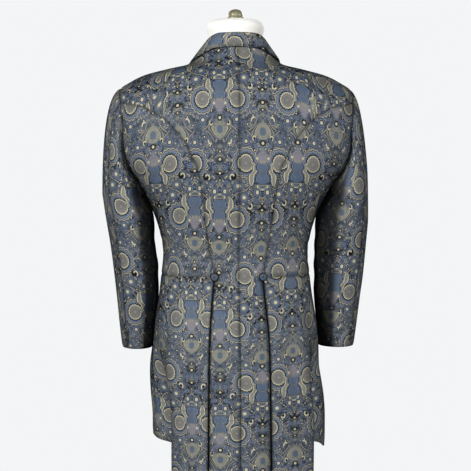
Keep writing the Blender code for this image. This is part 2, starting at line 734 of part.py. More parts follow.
def sleeve(side, parent):
    outer, inner = sleeve_grid(side)
    names = ("top_sleeve", "under_sleeve")
    spans = (np.arange(FORE_SEAM, ARM_STEPS + HIND_SEAM + 1), np.arange(HIND_SEAM, FORE_SEAM + 1))
    tail = "left" if side > 0 else "right"
    made = []
    for name, span in zip(names, spans):
        part_outer, part_inner = outer[:, span % ARM_STEPS].copy(), inner[:, span % ARM_STEPS].copy()
        trim(part_outer, part_inner, "lr", SEAM * 0.75)
        made.append(wall(f"{name}_{tail}", mirrored(part_outer, side), mirrored(part_inner, side), parent))
    return made


def collar_lines():
    """Seam, fold and leaf edge of the whole collar, from one gorge round the back to the other."""
    share = np.linspace(0, 1, len(COLLAR))
    seam, fold, edge = [], [], []
    for where, seam_x, seam_z, fold_x, fold_y, fold_z, edge_x, edge_z in COLLAR:
        seam.append(on_view(seam_x, seam_z, where))
        fold.append(np.array([fold_x, fold_y, fold_z]))
        foot = on_view(edge_x, edge_z, where)
        edge.append(foot + body_normal(angle_of(foot), foot[2]) * LEAF_LIFT)
    fine = np.linspace(0, 1, 12)
    halves = []
    for line in (seam, fold, edge):
        curve = through([(s, *p) for s, p in zip(share, line)])(fine)
        halves.append(np.concatenate([(curve * [-1, 1, 1])[:0:-1], curve]))
    return halves


def collar(parent):
    seam, fold, edge = collar_lines()
    around = np.gradient(fold, axis=0)

    def face(start, end):
        """Outward direction across a strip of the collar."""
        return unit(np.cross(around, end - start))

    away = fold * [1, 1, 0]  # from the middle of the neck
    stand_out = face(seam, fold)
    stand_out *= np.sign((stand_out * away).sum(-1, keepdims=True))
    leaf_out = face(edge, fold)
    leaf_out *= np.sign((leaf_out * away).sum(-1, keepdims=True))
    rise = np.array([0.0, 0.5, 1.0])[:, None, None]
    low = seam + unit(fold - seam) * STAND_RISE
    high = fold - unit(fold - seam) * SEAM
    stand_inner = low + (high - low) * rise - stand_out * CLOTH
    stand_outer = stand_inner + stand_out * CLOTH
    stand = wall("collar_stand", stand_outer, stand_inner, parent)
    fall = np.array([0.0, 0.14, 0.5, 1.0])[:, None, None]
    top = fold + np.array([0, 0, SEAM])
    puff = 0.0016 * np.sin(math.pi * fall)
    leaf_inner = top + (edge - top) * fall + leaf_out * (puff + SEAM)
    leaf_outer = leaf_inner + leaf_out * CLOTH
    leaf_outer[0] += np.array([0, 0, CLOTH * 0.4])
    leaf = wall("collar_leaf", leaf_outer, leaf_inner, parent)
    return stand, leaf


def lapel(side, parent):
    """Turned-back edge of the front, lying on it from the roll line to its own edge."""
    rise = np.linspace(0, 1, 9)
    foot = LAPEL_FOOT[side]
    top = np.array(LAPEL_TOP)
    top = np.stack([np.interp(np.linspace(0, 1, 5), np.linspace(0, 1, 3), top[:, k]) for k in range(2)], -1)
    z = foot + (top[0, 1] - foot) * rise
    start = front_edge_at(z)[..., 0]
    roll = np.stack([(start if side > 0 else np.abs(start)) + 0.0012, z], -1)
    z = foot + (top[-1, 1] - foot) * rise ** 1.25
    outside = np.stack([lapel_edge_at(z)[..., 0], z], -1)
    roll[-1], outside[-1] = top[0], top[-1]
    share = np.linspace(0, 1, 5)[:, None]
    bottom = roll[0] + (outside[0] - roll[0]) * share
    flat = patch(bottom, top, roll, outside)
    points = from_view(flat, "front")
    normal = body_normal(angle_of(points), points[..., 2])
    lift = LAPEL_ROLL * (1 - np.linspace(0, 1, 5)) ** 2 * smooth(rise * 4)[:, None]
    inner = points + normal * (lift + PLY)[..., None]
    outer = inner + normal * CLOTH
    name = "lapel_left" if side > 0 else "lapel_right"
    return wall(name, mirrored(outer, side), mirrored(inner, side), parent)


# Turned pieces

def turned(name, profile, finish, parent, steps=32):
    """Solid of revolution about Z from (radius, height) points, bottom to top."""
    shape = bmesh.new()
    rim = [shape.verts.new((r, 0, z)) for r, z in profile]
    low = shape.verts.new((0, 0, profile[0][1]))
    high = shape.verts.new((0, 0, profile[-1][1]))
    chain = [low, *rim, high]
    edges = [shape.edges.new(pair) for pair in zip(chain, chain[1:])]
    bmesh.ops.spin(
        shape, geom=[*chain, *edges], cent=(0, 0, 0), axis=(0, 0, 1), angle=2 * math.pi, steps=steps,
        use_merge=True,
    )
    bmesh.ops.remove_doubles(shape, verts=shape.verts, dist=1e-6)
    bmesh.ops.recalc_face_normals(shape, faces=shape.faces)
    mesh = bpy.data.meshes.new(name)
    shape.to_mesh(mesh)
    shape.free()
    mesh.materials.append(material(finish))
    mesh.shade_smooth()
    mesh.set_sharp_from_angle(angle=math.radians(40))
    made = bpy.data.objects.new(name, mesh)
    bpy.context.scene.collection.objects.link(made)
    made.parent = parent
    return made


def surface_of(pieces):
    """Tree of the cloth that the buttons are seated on."""
    points, faces = [], []
    for piece in pieces:
        start = len(points)
        points += [v.co[:] for v in piece.data.vertices]
        faces += [[start + i for i in face.vertices] for face in piece.data.polygons]
    return BVHTree.FromPolygons(points, faces)


def button(name, size, point, outward, finish, parent, cloth):
    """Covered button: a low dome with a rounded rim, facing outward, just clear of the cloth."""
    radius, thick = size
    profile = (
        (radius * 0.88, 0.0), (radius, thick * 0.35), (radius * 0.88, thick * 0.80), (radius * 0.5, thick),
    )
    made = turned(name, profile, finish, parent, steps=12)
    out = Vector(outward)
    spin = out.to_track_quat("Z", "Y")
    point = Vector(point)
    spots = [Vector((0, 0, 0))]
    spots += [Vector((math.cos(k * math.pi / 6), math.sin(k * math.pi / 6), 0)) * radius for k in range(12)]
    heights = []
    for spot in spots:
        start = point + spin @ spot + out * PROBE
        hit = cloth.ray_cast(start, -out, 2 * PROBE)
        if hit[0] is not None:
            heights.append((hit[0] - point).dot(out))
    made.rotation_mode = "QUATERNION"
    made.rotation_quaternion = spin
    made.location = point + out * (max(heights) + FIT)
    return made


def buttons(parent, pieces):
    cloth = surface_of(pieces)
    for side, name in ((1, "left"), (-1, "right")):
        spot = on_view(PLEAT_LINE[-1][1], WAIST, "back")
        out = body_normal(angle_of(spot), spot[2])
        mirror = np.array([side, 1, 1])
        button(f"hip_button_{name}", HIP_BUTTON, spot * mirror, out * mirror, "button", parent, cloth)
        outer, _ = sleeve_grid(side)
        upper, lower = outer[-2], outer[-1]
        for n, z in enumerate(CUFF_BUTTON_HEIGHTS, 1):
            row = upper + (lower - upper) * (upper[0, 2] - z) / (upper[0, 2] - lower[0, 2])
            here = (row[HIND_SEAM] + row[HIND_SEAM + 1]) / 2
            along = row[HIND_SEAM + 1] - row[HIND_SEAM]
            down = lower[HIND_SEAM] - upper[HIND_SEAM]
            out = unit(np.cross(down, along))
            title = f"cuff_button_{name}_{n}"
            button(title, CUFF_BUTTON, here * mirror, out * mirror, "dark button", parent, cloth)
    for n, z in enumerate(FRONT_BUTTON_HEIGHTS, 1):
        spot = on_view(0.0, z, "front")
        out = body_normal(angle_of(spot), spot[2])
        button(f"front_button_{n}", FRONT_BUTTON, spot, out, "button", parent, cloth)


# Dress form and stand

def form(parent):
    """Closed torso and neck, just inside the cloth and cut flat where the arms would start."""
    turn = np.arange(FORM_STEPS) * (2 * math.pi / FORM_STEPS)
    rows = []
    for z in FORM_ROWS:
        heights = np.full(FORM_STEPS, z)
        out = body_normal(turn, heights)
        row = body(turn, heights) - out * (CLOTH + clearance_at(heights))
        row[:, 0] = np.clip(row[:, 0], -ARM_PLATE, ARM_PLATE)
        if z < 1.35:
            row[:, 2] = z
        rows.append(row)
    for z, half, back, front in FORM_NECK:
        depth = np.where(np.cos(turn) >= 0, back, front)
        rows.append(np.stack([half * np.sin(turn), depth * np.cos(turn), np.full(FORM_STEPS, z)], -1))
    grid = np.array(rows)
    count, around = grid.shape[:2]
    points = np.concatenate([grid.reshape(-1, 3), [[0, 0, grid[0, 0, 2]], [0, 0, FORM_CROWN]]])
    low, high = count * around, count * around + 1
    faces = []
    for j in range(around):
        k = (j + 1) % around
        faces += [(low, j, k), (high, (count - 1) * around + k, (count - 1) * around + j)]
        for i in range(count - 1):
            a, b, c, d = i * around + j, i * around + k, (i + 1) * around + k, (i + 1) * around + j
            faces += [(a, c, b), (a, d, c)]
    return solid("form_torso", points, faces, "form cover", parent)


def stand(parent):
    turned("form_base", (
        (BASE_RADIUS - 0.003, 0.0), (BASE_RADIUS, 0.003), (BASE_RADIUS, BASE_HEIGHT - 0.004),
        (BASE_RADIUS - 0.006, BASE_HEIGHT), (HUB_RADIUS + 0.012, BASE_HEIGHT + 0.006),
        (HUB_RADIUS, BASE_HEIGHT + 0.014), (HUB_RADIUS, HUB_HEIGHT - 0.003), (HUB_RADIUS - 0.003, HUB_HEIGHT),
    ), "iron", parent, steps=32)
    turned("form_pole", (
        (POLE_RADIUS, HUB_HEIGHT + FIT), (POLE_RADIUS, FORM_FOOT - 0.020),
        (POLE_RADIUS + 0.009, FORM_FOOT - 0.018), (POLE_RADIUS + 0.009, FORM_FOOT - FIT),
    ), "steel", parent, steps=20)
    turned("form_finial", (
        (0.0185, FORM_CROWN + FIT), (0.0185, FORM_CROWN + 0.0022), (0.0150, FORM_CROWN + 0.0034),
        (0.0160, FORM_CROWN + 0.0070), (0.0147, FORM_CROWN + 0.0120), (0.0108, FORM_CROWN + 0.0165),
        (0.0050, FORM_CROWN + 0.0188),
    ), "finial", parent, steps=20)


def main():
    for old in list(bpy.data.objects):
        bpy.data.objects.remove(old, do_unlink=True)
    whole = bpy.data.objects.new("frock coat on its form", None)
    bpy.context.scene.collection.objects.link(whole)
    cloth = []
    for side in (1, -1):
        cloth += [back_panel(side, whole), side_body(side, whole), front_panel(side, whole)]
        cloth += [skirt(side, whole), *sleeve(side, whole)]
        lapel(side, whole)
    collar(whole)
    buttons(whole, cloth)
    form(whole)
    stand(whole)


main()
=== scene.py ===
import math
import bmesh
import bpy
import numpy as np
from mathutils import Matrix, Vector


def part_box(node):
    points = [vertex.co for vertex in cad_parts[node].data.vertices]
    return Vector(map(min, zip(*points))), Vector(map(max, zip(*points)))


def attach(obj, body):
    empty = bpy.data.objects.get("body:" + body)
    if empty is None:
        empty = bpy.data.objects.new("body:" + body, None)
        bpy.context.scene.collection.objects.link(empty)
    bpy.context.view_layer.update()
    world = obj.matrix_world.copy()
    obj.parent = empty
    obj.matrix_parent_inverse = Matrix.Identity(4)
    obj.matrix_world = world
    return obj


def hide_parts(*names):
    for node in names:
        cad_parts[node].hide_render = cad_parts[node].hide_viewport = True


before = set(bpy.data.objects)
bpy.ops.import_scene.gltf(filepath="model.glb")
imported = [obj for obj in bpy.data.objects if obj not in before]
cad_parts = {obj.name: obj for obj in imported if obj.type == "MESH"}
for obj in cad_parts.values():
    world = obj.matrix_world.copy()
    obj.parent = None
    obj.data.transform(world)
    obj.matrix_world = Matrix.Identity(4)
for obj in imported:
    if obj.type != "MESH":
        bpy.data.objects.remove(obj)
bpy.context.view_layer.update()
print("frame loaded:", len(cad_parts), "nodes")

# metres, +Z up, front of the coat at -Y, the wearer's left at +X
# angles round the body start at the centre back and pass the left side

# what every piece of the coat is drawn from
coat = {
    "wall": 0.0020,  # brocade with its lining
    "seamGap": 0.0004,
    "layerGap": 0.0006,
    "detail": 5,  # points of the fine grids for each step of the pattern
    "waist": 1.041, "nape": 1.512, "neckPoint": 1.484, "shoulderPoint": 1.418, "underarm": 1.234,
    # height, half width, depth to the back, depth to the front, squareness back and front
    "rings": (
        (0.500, 0.168, 0.134, 0.136, 2.4, 2.3), (0.700, 0.170, 0.132, 0.134, 2.4, 2.3),
        (0.800, 0.170, 0.129, 0.130, 2.4, 2.3), (0.860, 0.1715, 0.125, 0.128, 2.4, 2.3),
        (0.889, 0.1710, 0.122, 0.126, 2.4, 2.3), (0.922, 0.1680, 0.117, 0.123, 2.4, 2.3),
        (0.960, 0.1630, 0.109, 0.120, 2.35, 2.3), (1.000, 0.1570, 0.097, 0.117, 2.3, 2.3),
        (1.041, 0.152, 0.089, 0.115, 2.3, 2.3), (1.086, 0.148, 0.088, 0.117, 2.3, 2.3),
        (1.115, 0.152, 0.094, 0.122, 2.3, 2.3), (1.160, 0.165, 0.104, 0.129, 2.3, 2.3),
        (1.200, 0.184, 0.113, 0.133, 2.35, 2.35), (1.235, 0.208, 0.119, 0.134, 2.5, 2.4),
        (1.260, 0.227, 0.122, 0.132, 2.7, 2.5), (1.300, 0.242, 0.1235, 0.126, 3.0, 2.7),
        (1.360, 0.246, 0.119, 0.112, 3.0, 2.7), (1.400, 0.243, 0.112, 0.101, 2.6, 2.4),
        (1.416, 0.235, 0.108, 0.095, 2.3, 2.2), (1.430, 0.2146, 0.103, 0.089, 2.1, 2.1),
        (1.444, 0.187, 0.097, 0.083, 2.0, 2.0), (1.457, 0.139, 0.086, 0.075, 2.0, 2.0),
        (1.467, 0.097, 0.0775, 0.069, 2.0, 2.0), (1.475, 0.0860, 0.072, 0.065, 2.0, 2.0),
        (1.484, 0.0790, 0.068, 0.061, 2.0, 2.0), (1.500, 0.0700, 0.0625, 0.055, 2.0, 2.0),
        (1.515, 0.0640, 0.0570, 0.050, 2.0, 2.0),
    ),
    # angle, half width in degrees, share of the radius, height where it starts and is full
    "skirtFolds": (
        (70.0, 10.0, -0.22, 0.955, 0.76), (110.0, 20.0, 0.085, 0.930, 0.78),
        (36.0, 11.0, 0.020, 0.990, 0.84), (148.0, 12.0, -0.030, 0.960, 0.84),
    ),
    "armholeBack": 0.070, "armholeFront": 0.066,
    "armSteps": 30, "hindSeam": 4, "foreSeam": 20, "sideSeam": 18,  # steps round the armhole
}


def smoothTable(rows):
    # curve through a table without overshoot, led by the first column
    table = np.array(sorted(rows), float)
    lead, value = table[:, 0], table[:, 1:]
    rise = np.diff(value, axis=0) / np.diff(lead)[:, None]
    slope = np.zeros_like(value)
    before, after = rise[:-1], rise[1:]
    same = before * after > 0
    slope[1:-1][same] = 2 * before[same] * after[same] / (before + after)[same]
    slope[0], slope[-1] = rise[0], rise[-1]

    def at(x):
        x = np.clip(np.asarray(x, float), lead[0], lead[-1])
        i = np.clip(np.searchsorted(lead, x, side="right") - 1, 0, len(lead) - 2)
        h = (lead[i + 1] - lead[i])[..., None]
        t = (x - lead[i])[..., None] / h
        return (
            (1 + 2 * t) * (1 - t) ** 2 * value[i] + t * (1 - t) ** 2 * h * slope[i]
            + t ** 2 * (3 - 2 * t) * value[i + 1] - t ** 2 * (1 - t) * h * slope[i + 1]
        )

    return at


def ease(x):
    x = np.clip(x, 0.0, 1.0)
    return x * x * (3 - 2 * x)


def unit(v):
    return v / np.maximum(np.linalg.norm(v, axis=-1, keepdims=True), 1e-12)


def finer(steps, times):
    # puts more, evenly shared steps between those of a list
    steps = np.asarray(steps, float)
    return np.interp(np.linspace(0, len(steps) - 1, (len(steps) - 1) * times + 1), range(len(steps)), steps)


ringAt = smoothTable(coat["rings"])
detail = coat["detail"]
wall, seamGap, layerGap = coat["wall"], coat["seamGap"], coat["layerGap"]
waist = coat["waist"]
armSteps, hindSeam, foreSeam, sideSeam = (
    coat[key] * detail for key in ("armSteps", "hindSeam", "foreSeam", "sideSeam")
)


def ringParts(z):
    return np.moveaxis(ringAt(z), -1, 0)


def coatPoint(angle, z):
    # outside of the coat at an angle and a height
    angle, z = np.broadcast_arrays(np.asarray(angle, float), np.asarray(z, float))
    half, back, front, squareBack, squareFront = ringParts(z)
    s, c = np.sin(angle), np.cos(angle)
    square = np.where(c >= 0, squareBack, squareFront)
    radius = (np.abs(s) ** square + np.abs(c) ** square) ** (-1 / square)
    turned = np.abs((angle + math.pi) % (2 * math.pi) - math.pi)
    for middle, width, share, start, full in coat["skirtFolds"]:
        bump = np.exp(-(((turned - math.radians(middle)) / math.radians(width)) ** 2))
        radius = radius * (1 + share * bump * ease((start - z) / (start - full)))
    return np.stack([half * radius * s, np.where(c >= 0, back, front) * radius * c, z], -1)


def coatNormal(angle, z):
    small = 2e-4
    up = coatPoint(angle, z + small) - coatPoint(angle, z - small)
    along = coatPoint(angle + small, z) - coatPoint(angle - small, z)
    return unit(np.cross(up, along))


def angleOf(points):
    half, back, front = ringParts(points[..., 2])[:3]
    return np.arctan2(points[..., 0] / half, points[..., 1] / np.where(points[..., 1] >= 0, back, front))


def seenPoint(x, z, face):
    # point of the coat seen at x, z from the back or the front
    x, z = np.broadcast_arrays(np.asarray(x, float), np.asarray(z, float))
    half, back, front, squareBack, squareFront = ringParts(z)
    share = np.clip(np.abs(x / half), 0.0, 1.0)
    if face == "back":
        y = back * (1 - share ** squareBack) ** (1 / squareBack)
    else:
        y = -front * (1 - share ** squareFront) ** (1 / squareFront)
    return np.stack([np.clip(x, -half, half), y, z], -1)


def spanGrid(bottom, top, left, right):
    # plane grid between four edges that meet at their corners, rows upward
    u = np.linspace(0, 1, len(bottom))[None, :, None]
    v = np.linspace(0, 1, len(left))[:, None, None]
    edges = (1 - v) * bottom[None] + v * top[None] + (1 - u) * left[:, None] + u * right[:, None]
    corners = (
        (1 - u) * (1 - v) * bottom[0] + u * (1 - v) * bottom[-1] + (1 - u) * v * top[0] + u * v * top[-1]
    )
    return edges - corners


def plan(points):
    return points[..., [0, 2]]


def turns(points):
    return np.stack([angleOf(points), points[..., 2]], -1)


# lines that the pieces share
seams = {
    # height, distance from the centre
    "sideBack": (
        (1.041, 0.048), (1.100, 0.058), (1.152, 0.067), (1.210, 0.073), (1.254, 0.0815), (1.2733, 0.090),
        (1.3135, 0.112), (1.3365, 0.130), (1.3565, 0.151), (1.3770, 0.187),
    ),
    "pleat": (
        (0.500, 0.0640), (0.633, 0.0626), (0.840, 0.0606), (0.920, 0.0587), (0.985, 0.0535), (1.041, 0.048),
    ),
    "frontEdge": (
        (1.041, -0.018), (1.200, -0.018), (1.225, -0.010), (1.300, 0.020), (1.400, 0.054), (1.450, 0.070),
        (1.484, 0.0790),
    ),
    # height, angle
    "underarm": ((1.041, 104.0), (1.120, 104.0), (1.200, 105.0), (1.2555, 107.0)),
    "cutaway": (
        (0.712, 119.0), (0.740, 122.0), (0.765, 128.0), (0.800, 135.0), (0.860, 144.0), (0.930, 155.0),
        (1.000, 169.0), (1.041, 178.5),
    ),
    # angle, height
    "hem": (
        (0.0, 0.545), (25.0, 0.550), (40.0, 0.562), (52.0, 0.585), (60.0, 0.625), (68.0, 0.675),
        (76.0, 0.698), (90.0, 0.705), (104.0, 0.708), (112.0, 0.714), (118.0, 0.724), (122.0, 0.740),
    ),
    "shoulderShares": (0.0, 0.16, 0.34, 0.55, 0.77, 1.0),
    "sideSteps": 10,
    "frontEnd": 178.5,
}
sideBackAt, pleatAt, frontEdgeAt, underarmAt, cutawayAt, hemAt = (
    smoothTable(seams[key]) for key in ("sideBack", "pleat", "frontEdge", "underarm", "cutaway", "hem")
)
sideSteps = seams["sideSteps"] * detail


def armholeLine():
    # round the left armhole, from the shoulder point back, down and to the front
    turn = np.arange(armSteps) * (2 * math.pi / armSteps)
    reach = np.where(np.sin(turn) >= 0, coat["armholeBack"], coat["armholeFront"])
    y = reach * np.sin(turn)
    middle = (coat["shoulderPoint"] + coat["underarm"]) / 2
    z = middle + (coat["shoulderPoint"] - middle) * np.cos(turn)
    half, back, front, squareBack, squareFront = ringParts(z)
    depth, square = np.where(y >= 0, back, front), np.where(y >= 0, squareBack, squareFront)
    return np.stack([half * (1 - np.abs(y / depth) ** square) ** (1 / square), y, z], -1)


armhole = armholeLine()


def sideBackLine():
    z = np.linspace(waist, seams["sideBack"][-1][0], 240)
    line = np.concatenate([seenPoint(sideBackAt(z)[..., 0], z, "back"), armhole[hindSeam][None]])
    length = np.concatenate([[0], np.cumsum(np.linalg.norm(np.diff(line, axis=0), axis=1))])
    share = length[-1] * (1 - np.linspace(1, 0, sideSteps + 1) ** 1.3)
    found = np.stack([np.interp(share, length, line[:, k]) for k in range(3)], -1)
    found[:-1] = seenPoint(found[:-1, 0], found[:-1, 2], "back")
    return found


def underarmLine():
    share = np.linspace(0, 1, sideSteps + 1)
    top = armhole[sideSeam]
    z = waist + (top[2] - waist) * share
    angle = np.radians(underarmAt(z)[..., 0])
    angle += (angleOf(top) - angle[-1]) * ease(share)
    return coatPoint(angle, z)


def shoulderLine():
    share = finer(seams["shoulderShares"], detail)
    z = coat["neckPoint"] + (coat["shoulderPoint"] - coat["neckPoint"]) * share
    line = coatPoint(np.full(len(z), math.pi / 2), z)
    line[-1] = armhole[0]
    return line


sideBack, underarm, shoulder = sideBackLine(), underarmLine(), shoulderLine()
sideColumns = sideSeam - hindSeam
waistLine = np.concatenate([
    np.linspace(angleOf(sideBack[0]), angleOf(underarm[0]), sideColumns + 1),
    np.linspace(angleOf(underarm[0]), math.radians(seams["frontEnd"]), len(shoulder))[1:],
])


# soft creases: trough or ridge along a line, depth in metres (minus is a trough), half width
creaseForm = {"fadePower": 0.7, "thin": 0.55, "swell": 0.45, "bank": 0.35, "bankAt": 1.7, "bankSharp": 1.4}


def creased(points, normal, lines):
    lift = np.zeros(points.shape[:-1])
    for path, depth, width in lines:
        path = np.asarray(path, float)
        best, place = np.full(lift.shape, 1e9), np.zeros(lift.shape)
        length = np.concatenate([[0], np.cumsum(np.linalg.norm(np.diff(path, axis=0), axis=1))])
        for k in range(len(path) - 1):
            a, b = path[k], path[k + 1]
            t = np.clip(((points - a) @ (b - a)) / max((b - a) @ (b - a), 1e-9), 0, 1)
            away = np.linalg.norm(points - a - t[..., None] * (b - a), axis=-1)
            nearer = away < best
            best = np.where(nearer, away, best)
            place = np.where(nearer, (length[k] + t * (length[k + 1] - length[k])) / length[-1], place)
        fade = np.sin(math.pi * np.clip(place, 0.0, 1.0)) ** creaseForm["fadePower"]
        reach = width * (creaseForm["thin"] + creaseForm["swell"] * fade)
        trough = np.exp(-((best / reach) ** 2))
        beside = np.exp(-((best / reach - creaseForm["bankAt"]) ** 2) * creaseForm["bankSharp"])
        lift += depth * fade * (trough - creaseForm["bank"] * beside)
    return points + normal * lift[..., None]


def trim(outer, inner, sides="btlr", cut=seamGap / 2):
    for grid in (outer, inner):
        if "b" in sides:
            grid[0] += unit(grid[1] - grid[0]) * cut
        if "t" in sides:
            grid[-1] += unit(grid[-2] - grid[-1]) * cut
        if "l" in sides:
            grid[:, 0] += unit(grid[:, 1] - grid[:, 0]) * cut
        if "r" in sides:
            grid[:, -1] += unit(grid[:, -2] - grid[:, -1]) * cut


def clothMesh(name, outer, inner, cloth, shade, parts, present=None):
    # shell of cloth between two grids, its own side outside and the lining inside
    rows, cols = outer.shape[:2]
    if present is None:
        present = np.ones((rows - 1, cols - 1), bool)
    points = np.concatenate([outer.reshape(-1, 3), inner.reshape(-1, 3)])
    weave = np.concatenate([cloth.reshape(-1, 2)] * 2)
    deep = rows * cols

    def there(i, j):
        return 0 <= i < rows - 1 and 0 <= j < cols - 1 and present[i, j]

    faces, lining = [], []
    for i in range(rows - 1):
        for j in range(cols - 1):
            if not present[i, j]:
                continue
            a, b, c, d = i * cols + j, i * cols + j + 1, (i + 1) * cols + j + 1, (i + 1) * cols + j
            faces += [(a, b, c, d), (a + deep, d + deep, c + deep, b + deep)]
            lining += [0, 1]
            for di, dj, p, q in ((-1, 0, a, b), (0, 1, b, c), (1, 0, c, d), (0, -1, d, a)):
                if not there(i + di, j + dj):
                    faces.append((p, p + deep, q + deep, q))
                    lining.append(0)
    faces = np.array(faces)
    used = np.unique(faces)
    index = np.full(len(points), -1)
    index[used] = np.arange(len(used))
    a, b, c = (points[faces[:, k]] for k in range(3))
    a2, b2, c2 = (points[faces[:, k]] for k in (0, 2, 3))
    size = (a * np.cross(b, c)).sum() + (a2 * np.cross(b2, c2)).sum()
    if size < 0:
        faces = faces[:, ::-1]
    mesh = bpy.data.meshes.new(name)
    mesh.from_pydata(points[used].tolist(), [], index[faces].tolist())
    mesh.polygons.foreach_set("material_index", lining)
    laid = mesh.uv_layers.new(name="cloth")
    laid.data.foreach_set("uv", weave[faces.reshape(-1)].reshape(-1))
    mesh.shade_smooth()
    mesh.set_sharp_from_angle(angle=math.radians(50))
    # painted shade of seams, pleats, edges and undersides is kept in the 'seam' attribute
    seam = mesh.attributes.new("seam", "FLOAT", "POINT")
    seam.data.foreach_set("value", np.concatenate([shade.reshape(-1)] * 2)[used])
    for finish in parts:
        mesh.materials.append(finish)
    made = bpy.data.objects.new(name, mesh)
    bpy.context.scene.collection.objects.link(made)
    return made


def mirrored(grid, side):
    return grid * np.array([side, 1.0, 1.0])


# height, and how far the rows of the pattern are eased down there
rowShift = (
    (0.500, 0.0), (0.713, 0.0), (0.814, 0.011), (0.924, 0.016), (1.051, 0.020), (1.157, 0.0165),
    (1.266, 0.0125),
    (1.397, -0.003), (1.520, -0.003),
)


def measuredCloth(pointAt, acrossEnd, steps=160):
    # lengths along the cloth: across from the centre back, and up from the waist
    across = np.linspace(0, acrossEnd, steps)
    height = np.linspace(0.50, 1.515, steps * 2)
    points = pointAt(across[None, :], height[:, None])
    right = np.cumsum(np.linalg.norm(np.diff(points, axis=1, prepend=points[:, :1]), axis=-1), axis=1)
    up = np.cumsum(np.linalg.norm(np.diff(points, axis=0, prepend=points[:1]), axis=-1), axis=0)
    up += smoothTable(rowShift)(height)
    table = np.stack([right, up], -1)

    def at(a, z):
        i = np.clip((z - height[0]) / (height[1] - height[0]), 0, len(height) - 1.001)
        j = np.clip(a / (across[1] - across[0]), 0, len(across) - 1.001)
        i0, j0 = i.astype(int), j.astype(int)
        fi, fj = (i - i0)[..., None], (j - j0)[..., None]
        low = table[i0, j0] * (1 - fj) + table[i0, j0 + 1] * fj
        return low * (1 - fi) + (table[i0 + 1, j0] * (1 - fj) + table[i0 + 1, j0 + 1] * fj) * fi

    return at


backCloth = measuredCloth(lambda x, z: seenPoint(x, z, "back"), 0.255)
sideCloth = measuredCloth(coatPoint, math.pi)

# where the pattern starts on each piece: an axis of the pattern, and the middle of a row
patternAt = {
    "backLeft": (0.039, 0.8975), "backRight": (-0.037, 0.8975),
    "sideBodyLeft": (0.088, 0.905), "sideBodyRight": (0.032, 0.905),
    "frontLeft": (0.041, 0.905), "frontRight": (0.041, 0.905),
    "skirtLeft": (0.096, 0.917), "skirtRight": (0.028, 0.908),
    "topSleeveLeft": (0.0, 0.300), "topSleeveRight": (0.020, 0.340),
    "underSleeveLeft": (0.060, 0.300), "underSleeveRight": (0.055, 0.340),
    "collar": (0.039, 0.020), "lapelLeft": (0.02, 0.02), "lapelRight": (0.03, 0.02),
}


def laid(cloth, name):
    return cloth - np.array(patternAt[name])


seamRoll = {"depth": 0.0010, "reach": 0.0040}


def rolled(outer, normal, sides):
    # the cloth dips toward its seams and folded edges; the nearness is also painted shade that darkens its
    # colour there
    near = np.zeros(outer.shape[:-1])
    edges = {"b": outer[:1], "t": outer[-1:], "l": outer[:, :1], "r": outer[:, -1:]}
    for side in sides:
        away = np.linalg.norm(outer - edges[side], axis=-1)
        near = np.maximum(near, np.exp(-((away / seamRoll["reach"]) ** 2)))
    return outer - normal * (seamRoll["depth"] * near)[..., None], near


# lines of hand stitches beside the finished edges
edgeStitch = {"inset": 0.0042, "lift": 0.0001, "spacing": 0.0046, "length": 0.0024, "thickness": 0.0005}
sewing = []


def sewAlong(line, inside, normal, side):
    spots = line + unit(inside - line) * edgeStitch["inset"] + normal * edgeStitch["lift"]
    sewing.append((mirrored(spots, side), mirrored(normal, side), False))


def lapped(x, z, fullAt, ramp, top, blend, depth):
    # depth by which a layer sinks under its neighbour near a lapped edge
    return depth * ease((x - (fullAt - ramp)) / ramp) * ease((top - z) / blend)


def crested(points, face, shares=(0.35, 0.62, 0.80, 0.92)):
    # more rows where the cloth turns over the shoulder
    crest = []
    for part in shares:
        row = points[-2] + (points[-1] - points[-2]) * part
        row[1:-1] = seenPoint(row[1:-1, 0], row[1:-1, 2], face)
        crest.append(row)
    return np.concatenate([points[:-1], crest, points[-1:]])


def stretchAt(angle, z, step=1e-3):
    # metres along the coat for each radian around it
    return np.linalg.norm(coatPoint(angle + step, z) - coatPoint(angle, z), axis=-1) / step


# backs with their tails
back = {
    "upperRows": (1.425, 1.445, 1.463, 1.484, 1.512),
    "neckColumns": 4,
    "tailRows": (0.0, 0.022, 0.06, 0.13, 0.22, 0.33, 0.46, 0.62, 0.80, 1.0),
    "pleatDepth": 0.028, "ventLap": 0.024, "ventTop": 1.022, "lapRamp": 0.022,
    # strength of the painted shadow in the pleats
    "pleatShade": 2.0,
    # side, distance from the centre and height along the crease, depth, half width
    "creases": (
        (1, ((0.176, 1.352), (0.150, 1.318), (0.126, 1.268)), -0.0016, 0.014),
        (1, ((0.182, 1.318), (0.166, 1.280), (0.140, 1.236)), -0.0022, 0.011),
        (-1, ((0.178, 1.345), (0.154, 1.306), (0.122, 1.262)), -0.0018, 0.013),
        (-1, ((0.184, 1.300), (0.168, 1.268), (0.146, 1.222)), -0.0020, 0.010),
        (1, ((0.006, 1.470), (0.060, 1.452), (0.118, 1.438)), -0.0009, 0.012),
        (-1, ((0.008, 1.474), (0.056, 1.458), (0.104, 1.440)), -0.0008, 0.013),
        (1, ((0.052, 1.092), (0.030, 1.080), (0.010, 1.074)), -0.0010, 0.007),
        (-1, ((0.054, 1.084), (0.034, 1.076), (0.014, 1.064)), -0.0011, 0.008),
        (1, ((0.030, 1.000), (0.033, 0.860), (0.036, 0.640)), -0.0022, 0.015),
        (-1, ((0.036, 1.004), (0.038, 0.880), (0.041, 0.700)), -0.0020, 0.014),
        (1, ((0.014, 0.930), (0.013, 0.800), (0.016, 0.560)), 0.0016, 0.012),
        (-1, ((0.020, 0.900), (0.022, 0.780), (0.020, 0.600)), 0.0014, 0.013),
    ),
}
pleatStack = 2 * (wall + layerGap)


def viewCreases(lines, side, face):
    return [
        (seenPoint([p[0] for p in path], [p[1] for p in path], face), depth, width)
        for s, path, depth, width in lines if s == side
    ]


